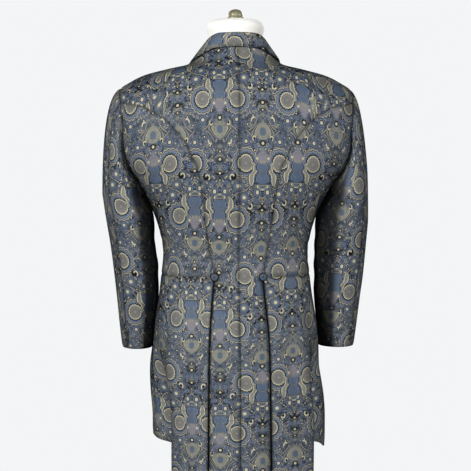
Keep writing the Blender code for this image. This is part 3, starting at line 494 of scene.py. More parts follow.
def addBack(side, finish):
    neckTurn = np.sin(np.linspace(0, math.pi / 2, back["neckColumns"] * detail + 1))
    neckZ = coat["nape"] - (coat["nape"] - coat["neckPoint"]) * neckTurn ** 2
    neck = np.stack([neckTurn * shoulder[0, 0], neckZ], -1)
    top = np.concatenate([neck, plan(shoulder)[1:]])
    right = np.concatenate([plan(sideBack), plan(armhole[:hindSeam + 1])[::-1][1:]])
    low = back["upperRows"][0] - (back["upperRows"][0] - waist) * np.linspace(1, 0, sideSteps + 1) ** 1.5
    left = np.concatenate([low, finer(back["upperRows"], detail)[1:]])
    left = np.stack([np.zeros_like(left), left], -1)
    share = np.linspace(0, 1, len(top))
    bottom = np.stack([share * right[0, 0], np.full(len(top), waist)], -1)
    upper = spanGrid(bottom, top, left, right)
    rows = []
    for down in finer(back["tailRows"], detail)[:0:-1]:
        z = np.full(len(share), waist)
        for _ in range(3):
            x = share * pleatAt(z)[..., 0]
            z = waist + (hemAt(np.degrees(angleOf(seenPoint(x, z, "back"))))[..., 0] - waist) * down
        rows.append(np.stack([share * pleatAt(z)[..., 0], z], -1))
    points = seenPoint(*np.moveaxis(np.concatenate([np.array(rows), upper]), -1, 0), "back")
    tails = len(rows)
    points[tails:, -1] = np.concatenate([sideBack, armhole[:hindSeam + 1][::-1][1:]])
    points[-1, back["neckColumns"] * detail:] = shoulder
    points = crested(points, "back")
    angle, z, x = angleOf(points), points[..., 2], points[..., 0]
    normal = coatNormal(angle, z)
    pleatX = pleatAt(np.minimum(z, waist))[..., 0]
    sink = lapped(x, z, pleatX - 0.002, back["lapRamp"], waist, 0.0105, pleatStack)
    if side < 0:
        sink = sink + lapped(-x, z, -0.001, back["lapRamp"], back["ventTop"] + 0.014, 0.014, wall + layerGap)
    body = creased(points, normal, viewCreases(back["creases"], side, "back"))
    outer, shade = rolled(body - normal * sink[..., None], normal, "btlr")
    # painted shadow along the pleat's edge
    shade[:tails, -1] = back["pleatShade"]
    shade[:tails, -2] = np.maximum(shade[:tails, -2], back["pleatShade"] * 0.25)
    cloth = backCloth(x, z)
    inner = outer - normal * wall
    trim(outer, inner)
    present = np.ones((points.shape[0] - 1, points.shape[1] - 1), bool)
    folded = np.zeros((points.shape[0] - 1, 5), bool)
    folded[:tails - 1] = True

    def layer(grid, depth):
        across = coatNormal(angleOf(grid), grid[..., 2])
        return grid - across * depth, grid - across * (depth + wall)

    steps = np.linspace(0, 1, 6)[1:]
    edgeZ, base = points[:, -1, 2], angle[:, -1]
    stretch = stretchAt(base, edgeZ)
    under = np.stack([coatPoint(base + k / stretch, edgeZ) for k in steps * back["pleatDepth"]], 1)
    fold = layer(under, pleatStack)
    outer, inner = np.concatenate([outer, fold[0]], 1), np.concatenate([inner, fold[1]], 1)
    extra = cloth[:, -1:] + np.stack([steps * back["pleatDepth"], steps * 0], -1)[None]
    cloth = np.concatenate([cloth, extra], 1)
    # painted shadow on the folded-under layer of the pleat
    shade = np.concatenate([shade, np.full(extra.shape[:2], back["pleatShade"])], 1)
    present = np.concatenate([present, folded], 1)
    if side < 0:
        lapReach, centreZ = steps[::-1] * back["ventLap"], points[:, 0, 2]
        lap = np.stack([seenPoint(np.full(len(points), -k), centreZ, "back") for k in lapReach], 1)
        fold = layer(lap, wall + layerGap)
        outer, inner = np.concatenate([fold[0], outer], 1), np.concatenate([fold[1], inner], 1)
        extra = cloth[:, :1] - np.stack([lapReach, steps * 0], -1)[None]
        cloth = np.concatenate([extra, cloth], 1)
        # painted shade on the vent's hidden lap
        shade = np.concatenate([np.ones(extra.shape[:2]), shade], 1)
        vent = folded.copy()
        vent[tails - 1 - detail:] = False
        present = np.concatenate([vent, present], 1)
    name = "backLeft" if side > 0 else "backRight"
    walls = [mirrored(grid, side) for grid in (outer, inner)]
    return clothMesh(name, *walls, laid(cloth, name), shade, finish, present)


# side bodies
sideBody = {
    # side, angle and height along the crease, depth, half width
    "creases": (
        (1, ((52, 1.120), (74, 1.108), (98, 1.112)), -0.0014, 0.008),
        (1, ((46, 1.072), (66, 1.066), (86, 1.074)), -0.0012, 0.007),
        (1, ((60, 1.215), (72, 1.170), (84, 1.150)), -0.0018, 0.011),
        (-1, ((50, 1.110), (70, 1.101), (94, 1.106)), -0.0013, 0.008),
        (-1, ((48, 1.066), (72, 1.062), (92, 1.068)), -0.0013, 0.008),
        (-1, ((58, 1.222), (70, 1.182), (80, 1.156)), -0.0016, 0.012),
    ),
}


def angleCreases(lines, side):
    return [
        (coatPoint(np.radians([p[0] for p in path]), [p[1] for p in path]), depth, width)
        for s, path, depth, width in lines if s == side
    ]


def addSideBody(side, finish):
    top = turns(armhole[hindSeam:sideSeam + 1])
    angles = waistLine[:sideColumns + 1]
    bottom = np.stack([angles, np.full(len(angles), waist)], -1)
    flat = spanGrid(bottom, top, turns(sideBack), turns(underarm))
    points, normal = coatPoint(flat[..., 0], flat[..., 1]), coatNormal(flat[..., 0], flat[..., 1])
    outer, shade = rolled(creased(points, normal, angleCreases(sideBody["creases"], side)), normal, "btlr")
    inner = outer - normal * wall
    trim(outer, inner)
    name = "sideBodyLeft" if side > 0 else "sideBodyRight"
    cloth = sideCloth(flat[..., 0], flat[..., 1])
    return clothMesh(name, mirrored(outer, side), mirrored(inner, side), laid(cloth, name), shade, finish)


# foreparts
front = {
    "lap": 0.0026,
    # side, distance from the centre and height along the crease, depth, half width
    "creases": (
        (1, ((0.010, 1.190), (0.050, 1.172), (0.098, 1.160)), -0.0014, 0.010),
        (-1, ((0.014, 1.186), (0.056, 1.176), (0.104, 1.170)), -0.0015, 0.011),
        (1, ((0.012, 1.118), (0.046, 1.106), (0.092, 1.086)), -0.0012, 0.008),
        (-1, ((0.012, 1.122), (0.052, 1.104), (0.086, 1.090)), -0.0012, 0.009),
        (1, ((0.182, 1.332), (0.160, 1.290), (0.146, 1.240)), -0.0020, 0.013),
        (-1, ((0.178, 1.326), (0.158, 1.286), (0.142, 1.250)), -0.0018, 0.012),
    ),
}


def addFront(side, finish):
    arm = np.concatenate([armhole[sideSeam:], armhole[:1]])
    edge = np.concatenate([underarm, arm[1:]])
    rise = np.linspace(0, 1, len(edge))
    z = waist + (coat["neckPoint"] - waist) * (1 - (1 - rise) ** 1.25)
    right = np.stack([frontEdgeAt(z)[..., 0], z], -1)
    top = plan(shoulder)[::-1]
    right[-1] = top[-1]
    bottom = plan(coatPoint(waistLine[sideColumns:], waist))
    bottom[-1] = right[0]
    flat = spanGrid(bottom, top, plan(edge), right)
    points = seenPoint(flat[..., 0], flat[..., 1], "front")
    points[:, 0] = edge
    points[-1] = shoulder[::-1]
    points = crested(points, "front")
    angle = angleOf(points)
    normal = coatNormal(angle, points[..., 2])
    sink = np.zeros(points.shape[:-1])
    if side < 0:
        sink = lapped(-points[..., 0], points[..., 2], -0.020, back["lapRamp"], 1.300, 0.036, front["lap"])
    body = creased(points, normal, viewCreases(front["creases"], side, "front"))
    outer, shade = rolled(body - normal * sink[..., None], normal, "btlr")
    inner = outer - normal * wall
    trim(outer, inner)
    name = "frontLeft" if side > 0 else "frontRight"
    cloth = sideCloth(angle, points[..., 2])
    cloth[..., 0] = sideCloth(np.full(angle.shape, math.pi), points[..., 2])[..., 0] - cloth[..., 0]
    # painted shadow cast by the lapel's edge onto the forepart
    z = np.linspace(lapel["foot"][side], lapel["top"][-1][1], 120)
    notch = np.stack([finer(column, 20) for column in np.transpose(lapel["top"])], -1)
    rim = np.concatenate([np.stack([lapelEdgeAt(z)[..., 0], z], -1), notch])
    away = np.linalg.norm(plan(points)[..., None, :] - rim, axis=-1).min(-1)
    strong, reach = lapel["castShade"]
    shade = shade + strong * np.exp(-((away / reach) ** 2))
    if side > 0:
        low = points[:, -1, 2] < lapel["foot"][1]
        sewAlong(outer[low, -1], outer[low, -2], normal[low, -1], side)
    return clothMesh(name, mirrored(outer, side), mirrored(inner, side), laid(cloth, name), shade, finish)


# skirts with the back edge folded under at the pleat
skirt = {
    "bend": 0.0023,  # outside radius of the folded edge
    "rightHemDrop": 0.028,
    "sway": (-0.0095, 0.870, 0.740),  # toward the wearer's right: shift, height of the start, of the end
    # side, angle and height along the crease, depth, half width
    "creases": (
        (1, ((30, 1.010), (34, 0.860), (38, 0.640)), -0.0024, 0.014),
        (1, ((44, 0.960), (47, 0.820), (49, 0.640)), 0.0026, 0.017),
        (1, ((52, 1.020), (58, 0.900), (58, 0.700)), -0.0022, 0.013),
        (1, ((96, 1.020), (93, 0.900), (90, 0.740)), -0.0026, 0.018),
        (1, ((128, 1.010), (124, 0.900), (121, 0.780)), -0.0024, 0.016),
        (1, ((150, 1.010), (143, 0.940), (136, 0.850)), 0.0022, 0.015),
        (-1, ((32, 1.004), (36, 0.880), (40, 0.660)), -0.0020, 0.015),
        (-1, ((45, 0.950), (48, 0.800), (50, 0.620)), 0.0024, 0.016),
        (-1, ((56, 1.016), (60, 0.910), (60, 0.720)), -0.0024, 0.014),
        (-1, ((98, 1.014), (96, 0.880), (92, 0.700)), -0.0028, 0.017),
        (-1, ((126, 1.004), (122, 0.890), (118, 0.740)), -0.0022, 0.017),
        (-1, ((148, 1.016), (142, 0.930), (134, 0.840)), 0.0020, 0.014),
    ),
}


def swayed(grid):
    shift, start, full = skirt["sway"]
    share = ease((np.abs(grid[..., 0]) - 0.085) / 0.06) * ease((start - grid[..., 2]) / (start - full))
    return grid + share[..., None] * np.array([shift, 0.0, 0.0])


def addSkirt(side, finish):
    columns = len(waistLine)
    share = np.linspace(0, 1, columns)
    down = finer(back["tailRows"], detail)
    cornerAngle, cornerZ = seams["hem"][-1]
    if side < 0:
        cornerZ -= skirt["rightHemDrop"]
    edgeZ = waist + (cornerZ - waist) * down
    edge = np.stack([np.radians(cutawayAt(edgeZ)[..., 0]), edgeZ], -1)
    pleatZ = waist + (seams["hem"][1][1] - waist) * down
    pleat = turns(seenPoint(pleatAt(pleatZ)[..., 0] + skirt["bend"], pleatZ, "back"))
    top = np.stack([waistLine, np.full(columns, waist)], -1)
    top[0], edge[0] = pleat[0], top[-1]
    crowd = share + 0.055 * np.sin(2 * math.pi * share)
    hemAngle = pleat[-1, 0] + (math.radians(cornerAngle) - pleat[-1, 0]) * crowd
    hem = np.stack([hemAngle, hemAt(np.degrees(hemAngle))[..., 0]], -1)
    if side < 0:
        hem[:, 1] -= skirt["rightHemDrop"] * ease((np.degrees(hemAngle) - 72) / 24)
    pleat[-1], edge[-1] = hem[0], hem[-1]
    flat = spanGrid(hem, top, pleat[::-1], edge[::-1])
    points, normal = coatPoint(flat[..., 0], flat[..., 1]), coatNormal(flat[..., 0], flat[..., 1])
    body = creased(points, normal, angleCreases(skirt["creases"], side))
    outer, shade = rolled(body, normal, "btr")
    # painted shadow along the skirt's folded edge at the pleat
    shade[:, 0] = back["pleatShade"] * 0.6
    inner = outer - normal * wall
    trim(outer, inner, "btr")
    line, inside = (swayed(mirrored(outer[:, k], side)) for k in (-1, -2))
    sewAlong(line, inside, mirrored(normal[:, -1], side), 1)
    cloth = sideCloth(flat[..., 0], flat[..., 1])
    # round the bend and back under the outer layer
    along, out = unit(outer[:, 1] - outer[:, 0]), normal[:, 0]
    middle = outer[:, 0] - out * skirt["bend"]
    z, base = flat[:, 0, 1], flat[:, 0, 0]
    stretch = stretchAt(base, z)
    sets, lengths = [], []
    for k in np.linspace(1, 0, 6)[:-1] * back["pleatDepth"]:
        lies, across = coatPoint(base + k / stretch, z), coatNormal(base + k / stretch, z)
        sets.append((lies - across * (2 * wall + layerGap), lies - across * (wall + layerGap)))
        lengths.append(k + 0.006)
    for turn in np.radians((180.0, 150.0, 120.0, 90.0, 60.0, 30.0)):
        way = out * math.cos(turn) - along * math.sin(turn)
        sets.append((middle + way * skirt["bend"], middle + way * layerGap / 2))
        lengths.append(skirt["bend"] * turn)
    outer = np.concatenate([np.stack([s[0] for s in sets], 1), outer], 1)
    inner = np.concatenate([np.stack([s[1] for s in sets], 1), inner], 1)
    extra = cloth[:, :1] - np.stack([lengths, np.zeros(len(lengths))], -1)[None]
    cloth = np.concatenate([extra, cloth], 1)
    # painted shadow on the skirt's folded-under layer
    shade = np.concatenate([np.full(extra.shape[:2], back["pleatShade"]), shade], 1)
    present = np.ones((outer.shape[0] - 1, outer.shape[1] - 1), bool)
    present[-detail:, :len(sets)] = False
    name = "skirtLeft" if side > 0 else "skirtRight"
    walls = [swayed(mirrored(grid, side)) for grid in (outer, inner)]
    return clothMesh(name, *walls, laid(cloth, name), shade, finish, present)


# sleeves in two pieces
sleeve = {
    # height, inner and outer side of the left, of the right, middle of the depth, half depth
    "rings": (
        (0.889, 0.1690, 0.2330, 0.1740, 0.2500, -0.035, 0.054),
        (0.936, 0.1630, 0.2380, 0.1710, 0.2550, -0.028, 0.058),
        (0.990, 0.1575, 0.2429, 0.1655, 0.2600, -0.019, 0.064),
        (1.040, 0.1570, 0.2480, 0.1635, 0.2650, -0.010, 0.069),
        (1.106, 0.1640, 0.2560, 0.1635, 0.2695, -0.002, 0.073),
        (1.155, 0.1670, 0.2640, 0.1660, 0.2725, 0.002, 0.077),
        (1.205, 0.1875, 0.2710, 0.1875, 0.2710, 0.005, 0.078),
    ),
    "capTurn": {1: 0.50, -1: 0.32}, "capRows": 22, "armRows": 60, "pitchTop": 1.205, "cuff": 0.889,
    # inward shift, its height, its reach up and down
    "underarmEase": {1: (0.0075, 1.222, 0.042), -1: (0.004, 1.235, 0.035)},
    # strength of the painted shade on the arm's side toward the body
    "armShade": 1.75,
    # side, turn and height along the crease, depth, half width; 90 is the back of the arm
    "creases": (
        (1, ((60, 1.192), (95, 1.170), (140, 1.182)), -0.0026, 0.011),
        (1, ((120, 1.222), (160, 1.196), (205, 1.210)), -0.0030, 0.012),
        (1, ((150, 1.128), (200, 1.104), (262, 1.118)), -0.0013, 0.015),
        (1, ((165, 1.088), (215, 1.072), (280, 1.090)), -0.0015, 0.014),
        (1, ((130, 1.052), (190, 1.038), (250, 1.058)), -0.0012, 0.016),
        (1, ((80, 1.075), (115, 1.062), (150, 1.066)), -0.0014, 0.010),
        (1, ((70, 0.985), (110, 0.964), (170, 0.972)), -0.0013, 0.009),
        (1, ((20, 1.300), (48, 1.262), (80, 1.240)), -0.0014, 0.012),
        (-1, ((58, 1.204), (92, 1.182), (135, 1.190)), -0.0024, 0.012),
        (-1, ((115, 1.236), (158, 1.204), (200, 1.222)), -0.0030, 0.013),
        (-1, ((155, 1.134), (205, 1.112), (258, 1.128)), -0.0014, 0.015),
        (-1, ((160, 1.092), (210, 1.074), (276, 1.084)), -0.0014, 0.014),
        (-1, ((135, 1.046), (195, 1.034), (255, 1.050)), -0.0013, 0.016),
        (-1, ((75, 1.084), (110, 1.070), (145, 1.074)), -0.0015, 0.009),
        (-1, ((66, 0.978), (106, 0.962), (160, 0.966)), -0.0012, 0.010),
        (-1, ((22, 1.292), (50, 1.256), (76, 1.232)), -0.0013, 0.013),
    ),
}
sleeveRingAt = smoothTable(sleeve["rings"])


def sleeveRing(z, side, turn):
    leftIn, leftOut, rightIn, rightOut, middle, half = np.moveaxis(sleeveRingAt(z), -1, 0)
    lowX, highX = (leftIn, leftOut) if side > 0 else (rightIn, rightOut)
    x = (lowX + highX) / 2 + (highX - lowX) / 2 * np.cos(turn)
    return np.stack([x, middle + half * np.sin(turn), z + 0 * turn], -1)


def sleeveCreases(side):
    lines = []
    for s, path, depth, width in sleeve["creases"]:
        if s == side:
            turn, z = np.radians([p[0] for p in path]), np.array([p[1] for p in path])
            spread = np.linspace(0, len(path) - 1, 9)
            turn, z = np.interp(spread, range(len(path)), turn), np.interp(spread, range(len(path)), z)
            ringZ = np.minimum(z, sleeve["pitchTop"])
            line = sleeveRing(ringZ, side, turn)
            line[:, 2] = z
            lines.append((line, depth, width))
    return lines


def sleeveShell(side):
    turn = np.arange(armSteps) * (2 * math.pi / armSteps)
    out = coatNormal(angleOf(armhole), armhole[:, 2])
    start = armhole - out * (seamRoll["depth"] - seamGap)
    end = sleeveRing(np.full(armSteps, sleeve["pitchTop"]), side, turn)
    reach = np.linalg.norm(end - start, axis=-1, keepdims=True)
    leaves = unit(out + unit(end - start)) * reach * sleeve["capTurn"][side]
    lands = np.array([0.0, 0.0, -1.0]) * reach
    rows = []
    for t in np.linspace(0, 1, sleeve["capRows"])[:-1] ** 1.25:
        rows.append(
            (1 + 2 * t) * (1 - t) ** 2 * start + t * (1 - t) ** 2 * leaves
            + t ** 2 * (3 - 2 * t) * end - t ** 2 * (1 - t) * lands
        )
    for z in np.linspace(sleeve["pitchTop"], sleeve["cuff"], sleeve["armRows"]):
        rows.append(sleeveRing(np.full(armSteps, z), side, turn))
    grid = np.array(rows)
    # fuller toward the body under the arm
    inward, middle, half = sleeve["underarmEase"][side]
    near = np.exp(-(((grid[..., 2] - middle) / half) ** 2)) * np.clip(-np.cos(turn), 0, 1)
    grid[1:, :, 0] -= inward * near[1:]
    down = np.gradient(grid, axis=0)
    around = np.roll(grid, -1, 1) - np.roll(grid, 1, 1)
    normal = unit(np.cross(down, around))
    grid = creased(grid, normal, sleeveCreases(side))
    up = np.cumsum(np.linalg.norm(np.diff(grid, axis=0, append=grid[-1:]), axis=-1)[::-1], axis=0)[::-1]
    return grid, normal, up


def addSleeve(side, finish):
    grid, normal, up = sleeveShell(side)
    # painted shade: the side toward the body is darkened in the cloth's colour, as it lies in the body's
    # shade
    turn = np.arange(armSteps) * (2 * math.pi / armSteps)
    behind = ease((np.sin(turn) + 0.45) / 0.7)
    low = ease((1.275 - grid[..., 2]) / 0.07)
    inner = sleeve["armShade"] * ease((-np.cos(turn) - 0.16) / 0.30) * behind * low
    tail = "Left" if side > 0 else "Right"
    spans = {
        "topSleeve": np.arange(foreSeam, armSteps + hindSeam + 1),
        "underSleeve": np.arange(hindSeam, foreSeam + 1),
    }
    made = []
    for name, span in spans.items():
        span = span % armSteps
        points, out = grid[:, span].copy(), normal[:, span]
        steps = np.linalg.norm(np.diff(points, axis=1, prepend=points[:, :1]), axis=-1)
        across = np.cumsum(steps, axis=1)
        if name == "topSleeve":
            across = across[:, -1:] - across  # counted from the seam at the back of the arm
        outer, _ = rolled(points, out, "tlr")
        # painted shade of the seams and of the arm's side toward the body
        shade = rolled(points, out, "btlr")[1] + inner[:, span]
        under = outer - out * wall
        trim(outer, under, "lr", seamGap * 0.75)
        title = name + tail
        cloth = laid(np.stack([across, up[:, span]], -1), title)
        made.append(clothMesh(title, mirrored(outer, side), mirrored(under, side), cloth, shade, finish))
    return made


# collar: stand, leaf with a rolled fold
collar = {
    # face, seam x, seam z, fold x, y, z, leaf edge x, z
    "rows": (
        ("back", 0.0000, 1.5120, 0.0000, 0.0640, 1.5255, 0.0000, 1.4975),
        ("back", 0.0400, 1.5060, 0.0340, 0.0555, 1.5245, 0.0390, 1.4950),
        ("back", 0.0640, 1.4955, 0.0505, 0.0370, 1.5175, 0.0635, 1.4850),
        ("back", 0.0789, 1.4842, 0.0600, 0.0060, 1.5045, 0.0815, 1.4745),
        ("front", 0.0775, 1.4740, 0.0655, -0.0310, 1.4880, 0.0970, 1.4600),
        ("front", 0.0730, 1.4580, 0.0690, -0.0600, 1.4660, 0.1120, 1.4440),
        ("front", 0.0665, 1.4400, 0.0670, -0.0870, 1.4430, 0.1190, 1.4280),
    ),
    "leafLift": 0.0032, "standRise": 0.0011, "roll": 0.0018, "columns": 60, "leafRows": 22,
}


def collarLines():
    share = np.linspace(0, 1, len(collar["rows"]))
    lines = [[], [], []]
    for face, seamX, seamZ, foldX, foldY, foldZ, edgeX, edgeZ in collar["rows"]:
        foot = seenPoint(edgeX, edgeZ, face)
        lines[0].append(seenPoint(seamX, seamZ, face))
        lines[1].append(np.array([foldX, foldY, foldZ]))
        lines[2].append(foot + coatNormal(angleOf(foot), foot[2]) * collar["leafLift"])
    fine = np.linspace(0, 1, collar["columns"])
    halves = []
    for line in lines:
        curve = smoothTable([(s, *p) for s, p in zip(share, line)])(fine)
        halves.append(np.concatenate([(curve * [-1, 1, 1])[:0:-1], curve]))
    return halves


def addCollar(finish):
    seam, fold, edge = collarLines()
    around, away = np.gradient(fold, axis=0), fold * [1, 1, 0]

    def facing(start, end):
        out = unit(np.cross(around, end - start))
        return out * np.sign((out * away).sum(-1, keepdims=True))

    standOut, leafOut = facing(seam, fold), facing(edge, fold)
    rise = np.linspace(0, 1, 9)[:, None, None]
    low = seam + unit(fold - seam) * collar["standRise"]
    high = fold - unit(fold - seam) * seamGap
    standInner = low + (high - low) * rise - standOut * wall
    run = np.cumsum(np.linalg.norm(np.diff(fold, axis=0, prepend=fold[:1]), axis=-1))
    run = run - run[len(run) // 2]
    standUp = np.broadcast_to(rise[..., 0] * 0.016, standInner.shape[:2])
    cloth = np.stack([np.broadcast_to(run, standInner.shape[:2]), standUp], -1)
    plainShade = np.zeros(standInner.shape[:2])
    walls = (standInner + standOut * wall, standInner)
    stand = clothMesh("collarStand", *walls, laid(cloth, "collar"), plainShade, finish)
    fall = (np.linspace(0, 1, collar["leafRows"]) ** 1.35)[:, None, None]
    top = fold + np.array([0, 0, seamGap])
    curl = np.sqrt(1 - (1 - np.clip(fall / 0.10, 0, 1)) ** 2) * collar["roll"] * (1 - fall) ** 0.7
    leafInner = top + (edge - top) * fall + leafOut * (0.0016 * np.sin(math.pi * fall) + seamGap + curl)
    leafInner[0] -= leafOut * wall * 0.4
    leafOuter = leafInner + leafOut * wall
    leafOuter[0] += np.array([0, 0, wall * 0.5])
    width = np.linalg.norm(edge - top, axis=-1)[None] * fall[..., 0]
    cloth = np.stack([np.broadcast_to(run, leafInner.shape[:2]), 0.045 - width], -1)
    # painted shade toward the leaf's rim
    _, shade = rolled(leafOuter, leafOut, "tlr")
    sewAlong(leafOuter[-1, 1:-1], leafOuter[-2, 1:-1], leafOut[1:-1], 1)
    leaf = clothMesh("collarLeaf", leafOuter, leafInner, laid(cloth, "collar"), shade * 0.7, finish)
    return stand, leaf


# lapels turned back on the fronts
lapel = {
    "edge": (
        (1.206, -0.011), (1.218, 0.008), (1.250, 0.054), (1.300, 0.098), (1.350, 0.127), (1.390, 0.142),
    ),
    "top": ((0.070, 1.436), (0.104, 1.414), (0.142, 1.390)),
    # rimShade: painted shade on the lapel's rim; castShade: strength and reach of the painted shadow on the
    # forepart
    "roll": 0.0040, "edgeLift": 0.0042, "grain": 17.0, "rimShade": 1.7, "castShade": (1.5, 0.0065),
    "foot": {1: 1.206, -1: 1.226}, "rollInset": 0.0012,
}
lapelEdgeAt = smoothTable(lapel["edge"])


def addLapel(side, finish):
    rise = np.linspace(0, 1, 8 * detail + 1)
    across = np.linspace(0, 1, 4 * detail + 1)
    top = np.array(lapel["top"])
    top = np.stack([np.interp(across, np.linspace(0, 1, 3), top[:, k]) for k in range(2)], -1)
    foot = lapel["foot"][side]
    z = foot + (top[0, 1] - foot) * rise
    start = frontEdgeAt(z)[..., 0]
    roll = np.stack([(start if side > 0 else np.abs(start)) + lapel["rollInset"], z], -1)
    z = foot + (top[-1, 1] - foot) * rise ** 1.25
    outside = np.stack([lapelEdgeAt(z)[..., 0], z], -1)
    roll[-1], outside[-1] = top[0], top[-1]
    bottom = roll[0] + (outside[0] - roll[0]) * across[:, None]
    flat = spanGrid(bottom, top, roll, outside)
    points = seenPoint(flat[..., 0], flat[..., 1], "front")
    normal = coatNormal(angleOf(points), points[..., 2])
    lift = (lapel["roll"] * (1 - across) ** 2 + lapel["edgeLift"] * across ** 3) * ease(rise * 4)[:, None]
    inner = points + normal * (lift + layerGap)[..., None]
    outer, shade = rolled(inner + normal * wall, normal, "tr")
    sewAlong(outer[2:, -1], outer[2:, -2], normal[2:, -1], side)
    sewAlong(outer[-1, 2:-1], outer[-2, 2:-1], normal[-1, 2:-1], side)
    # painted shade on the lapel's rim
    shade = shade * lapel["rimShade"]
    name = "lapelLeft" if side > 0 else "lapelRight"
    lean = math.radians(lapel["grain"])
    x, z = flat[..., 0], flat[..., 1] - waist
    right, up = x * math.cos(lean) - z * math.sin(lean), x * math.sin(lean) + z * math.cos(lean)
    cloth = laid(np.stack([right, up], -1), name)
    return clothMesh(name, mirrored(outer, side), mirrored(inner, side), cloth, shade, finish)


# materials
def thread(red, green, blue):
    # colour from a swatch's 0 to 255 values
    swatch = (red / 255, green / 255, blue / 255)
    return (*[c / 12.92 if c <= 0.04045 else ((c + 0.055) / 1.055) ** 2.4 for c in swatch], 1.0)


class Wiring:
    # small helper that joins math nodes in a material

    def __init__(self, name):
        self.material = bpy.data.materials.new(name)
        self.material.use_nodes = True
        self.nodes, self.links = self.material.node_tree.nodes, self.material.node_tree.links
        self.shader = self.nodes["Principled BSDF"]

    def put(self, socket, value):
        if isinstance(value, bpy.types.NodeSocket):
            self.links.new(value, socket)
        else:
            socket.default_value = value

    def math(self, operation, *values, clamp=False):
        node = self.nodes.new("ShaderNodeMath")
        node.operation, node.use_clamp = operation, clamp
        for socket, value in zip(node.inputs, values):
            self.put(socket, value)
        return node.outputs[0]

    def vector(self, operation, *values):
        node = self.nodes.new("ShaderNodeVectorMath")
        node.operation = operation
        for socket, value in zip(node.inputs, values):
            self.put(socket, value)
        return node.outputs["Value" if operation in ("LENGTH", "DOT_PRODUCT") else "Vector"]

    def joined(self, x, y, z=0.0):
        node = self.nodes.new("ShaderNodeCombineXYZ")
        for socket, value in zip(node.inputs, (x, y, z)):
            self.put(socket, value)
        return node.outputs[0]

    def split(self, vector):
        node = self.nodes.new("ShaderNodeSeparateXYZ")
        self.put(node.inputs[0], vector)
        return node.outputs

    def ramp(self, value, stops, curve="LINEAR"):
        node = self.nodes.new("ShaderNodeValToRGB")
        node.color_ramp.interpolation = curve
        elements = node.color_ramp.elements
        elements[0].position, elements[0].color = stops[0]
        elements[1].position, elements[1].color = stops[-1]
        for place, colour in stops[1:-1]:
            elements.new(place).color = colour
        self.put(node.inputs[0], value)
        return node.outputs["Color"], node.outputs["Alpha"]

    def curve(self, value, points, low, high):
        # a drawn curve over low to high
        node = self.nodes.new("ShaderNodeFloatCurve")
        line = node.mapping.curves[0]
        for place, height in points[1:-1]:
            line.points.new((place - low) / (high - low), height)
        line.points[0].location = (0.0, points[0][1])
        line.points[-1].location = (1.0, points[-1][1])
        for point in line.points:
            point.handle_type = "AUTO_CLAMPED"
        node.mapping.update()
        share = self.math("MULTIPLY_ADD", value, 1 / (high - low), -low / (high - low), clamp=True)
        self.put(node.inputs["Value"], share)
        return node.outputs[0]

    def mixed(self, below, above, share, blend="MIX"):
        node = self.nodes.new("ShaderNodeMix")
        node.data_type, node.blend_type = "RGBA", blend
        self.put(node.inputs[0], share)
        self.put(node.inputs[6], below)
        self.put(node.inputs[7], above)
        return node.outputs[2]

    def noise(self, vector, scale, detailLevel=2.0, rough=0.5):
        node = self.nodes.new("ShaderNodeTexNoise")
        self.put(node.inputs["Vector"], vector)
        node.inputs["Scale"].default_value = scale
        node.inputs["Detail"].default_value = detailLevel
        node.inputs["Roughness"].default_value = rough
        return node.outputs["Fac"]

    def voronoi(self, vector, scale, randomness=1.0):
        node = self.nodes.new("ShaderNodeTexVoronoi")
        self.put(node.inputs["Vector"], vector)
        node.inputs["Scale"].default_value = scale
        node.inputs["Randomness"].default_value = randomness
        return node.outputs["Distance"], node.outputs["Color"]

    def bump(self, height, distance, strength=1.0, before=None):
        node = self.nodes.new("ShaderNodeBump")
        node.inputs["Strength"].default_value = strength
        node.inputs["Distance"].default_value = distance
        self.put(node.inputs["Height"], height)
        if before is not None:
            self.put(node.inputs["Normal"], before)
        return node.outputs[0]


# the woven pattern: mirrored across, every other row upside down; sizes in millimetres of cloth
brocade = {
    "halfWidth": 82.0, "rowHeight": 110.0,
    "cream": thread(182, 177, 152), "taupe": thread(126, 125, 116), "lilac": thread(117, 115, 122),
    "olive": thread(115, 117, 104), "blue": thread(76, 92, 114), "slate": thread(83, 93, 106),
    "pale": thread(108, 121, 145), "ink": thread(31, 34, 44), "black": thread(9, 9, 12),
    "shadow": thread(92, 90, 98),
    "roughness": (0.44, 0.60), "specular": 0.16, "threadRelief": 0.00006,
}
clear = (0.0, 0.0, 0.0, 0.0)


def solidStops(*stops):
    # stops of a ramp with crisp changes from one thread to the next
    made, last = [], None
    for place, colour in stops:
        if last is not None:
            made.append((max(place - 0.02, 0.0), last))
        made.append((place, colour))
        last = colour
    return made


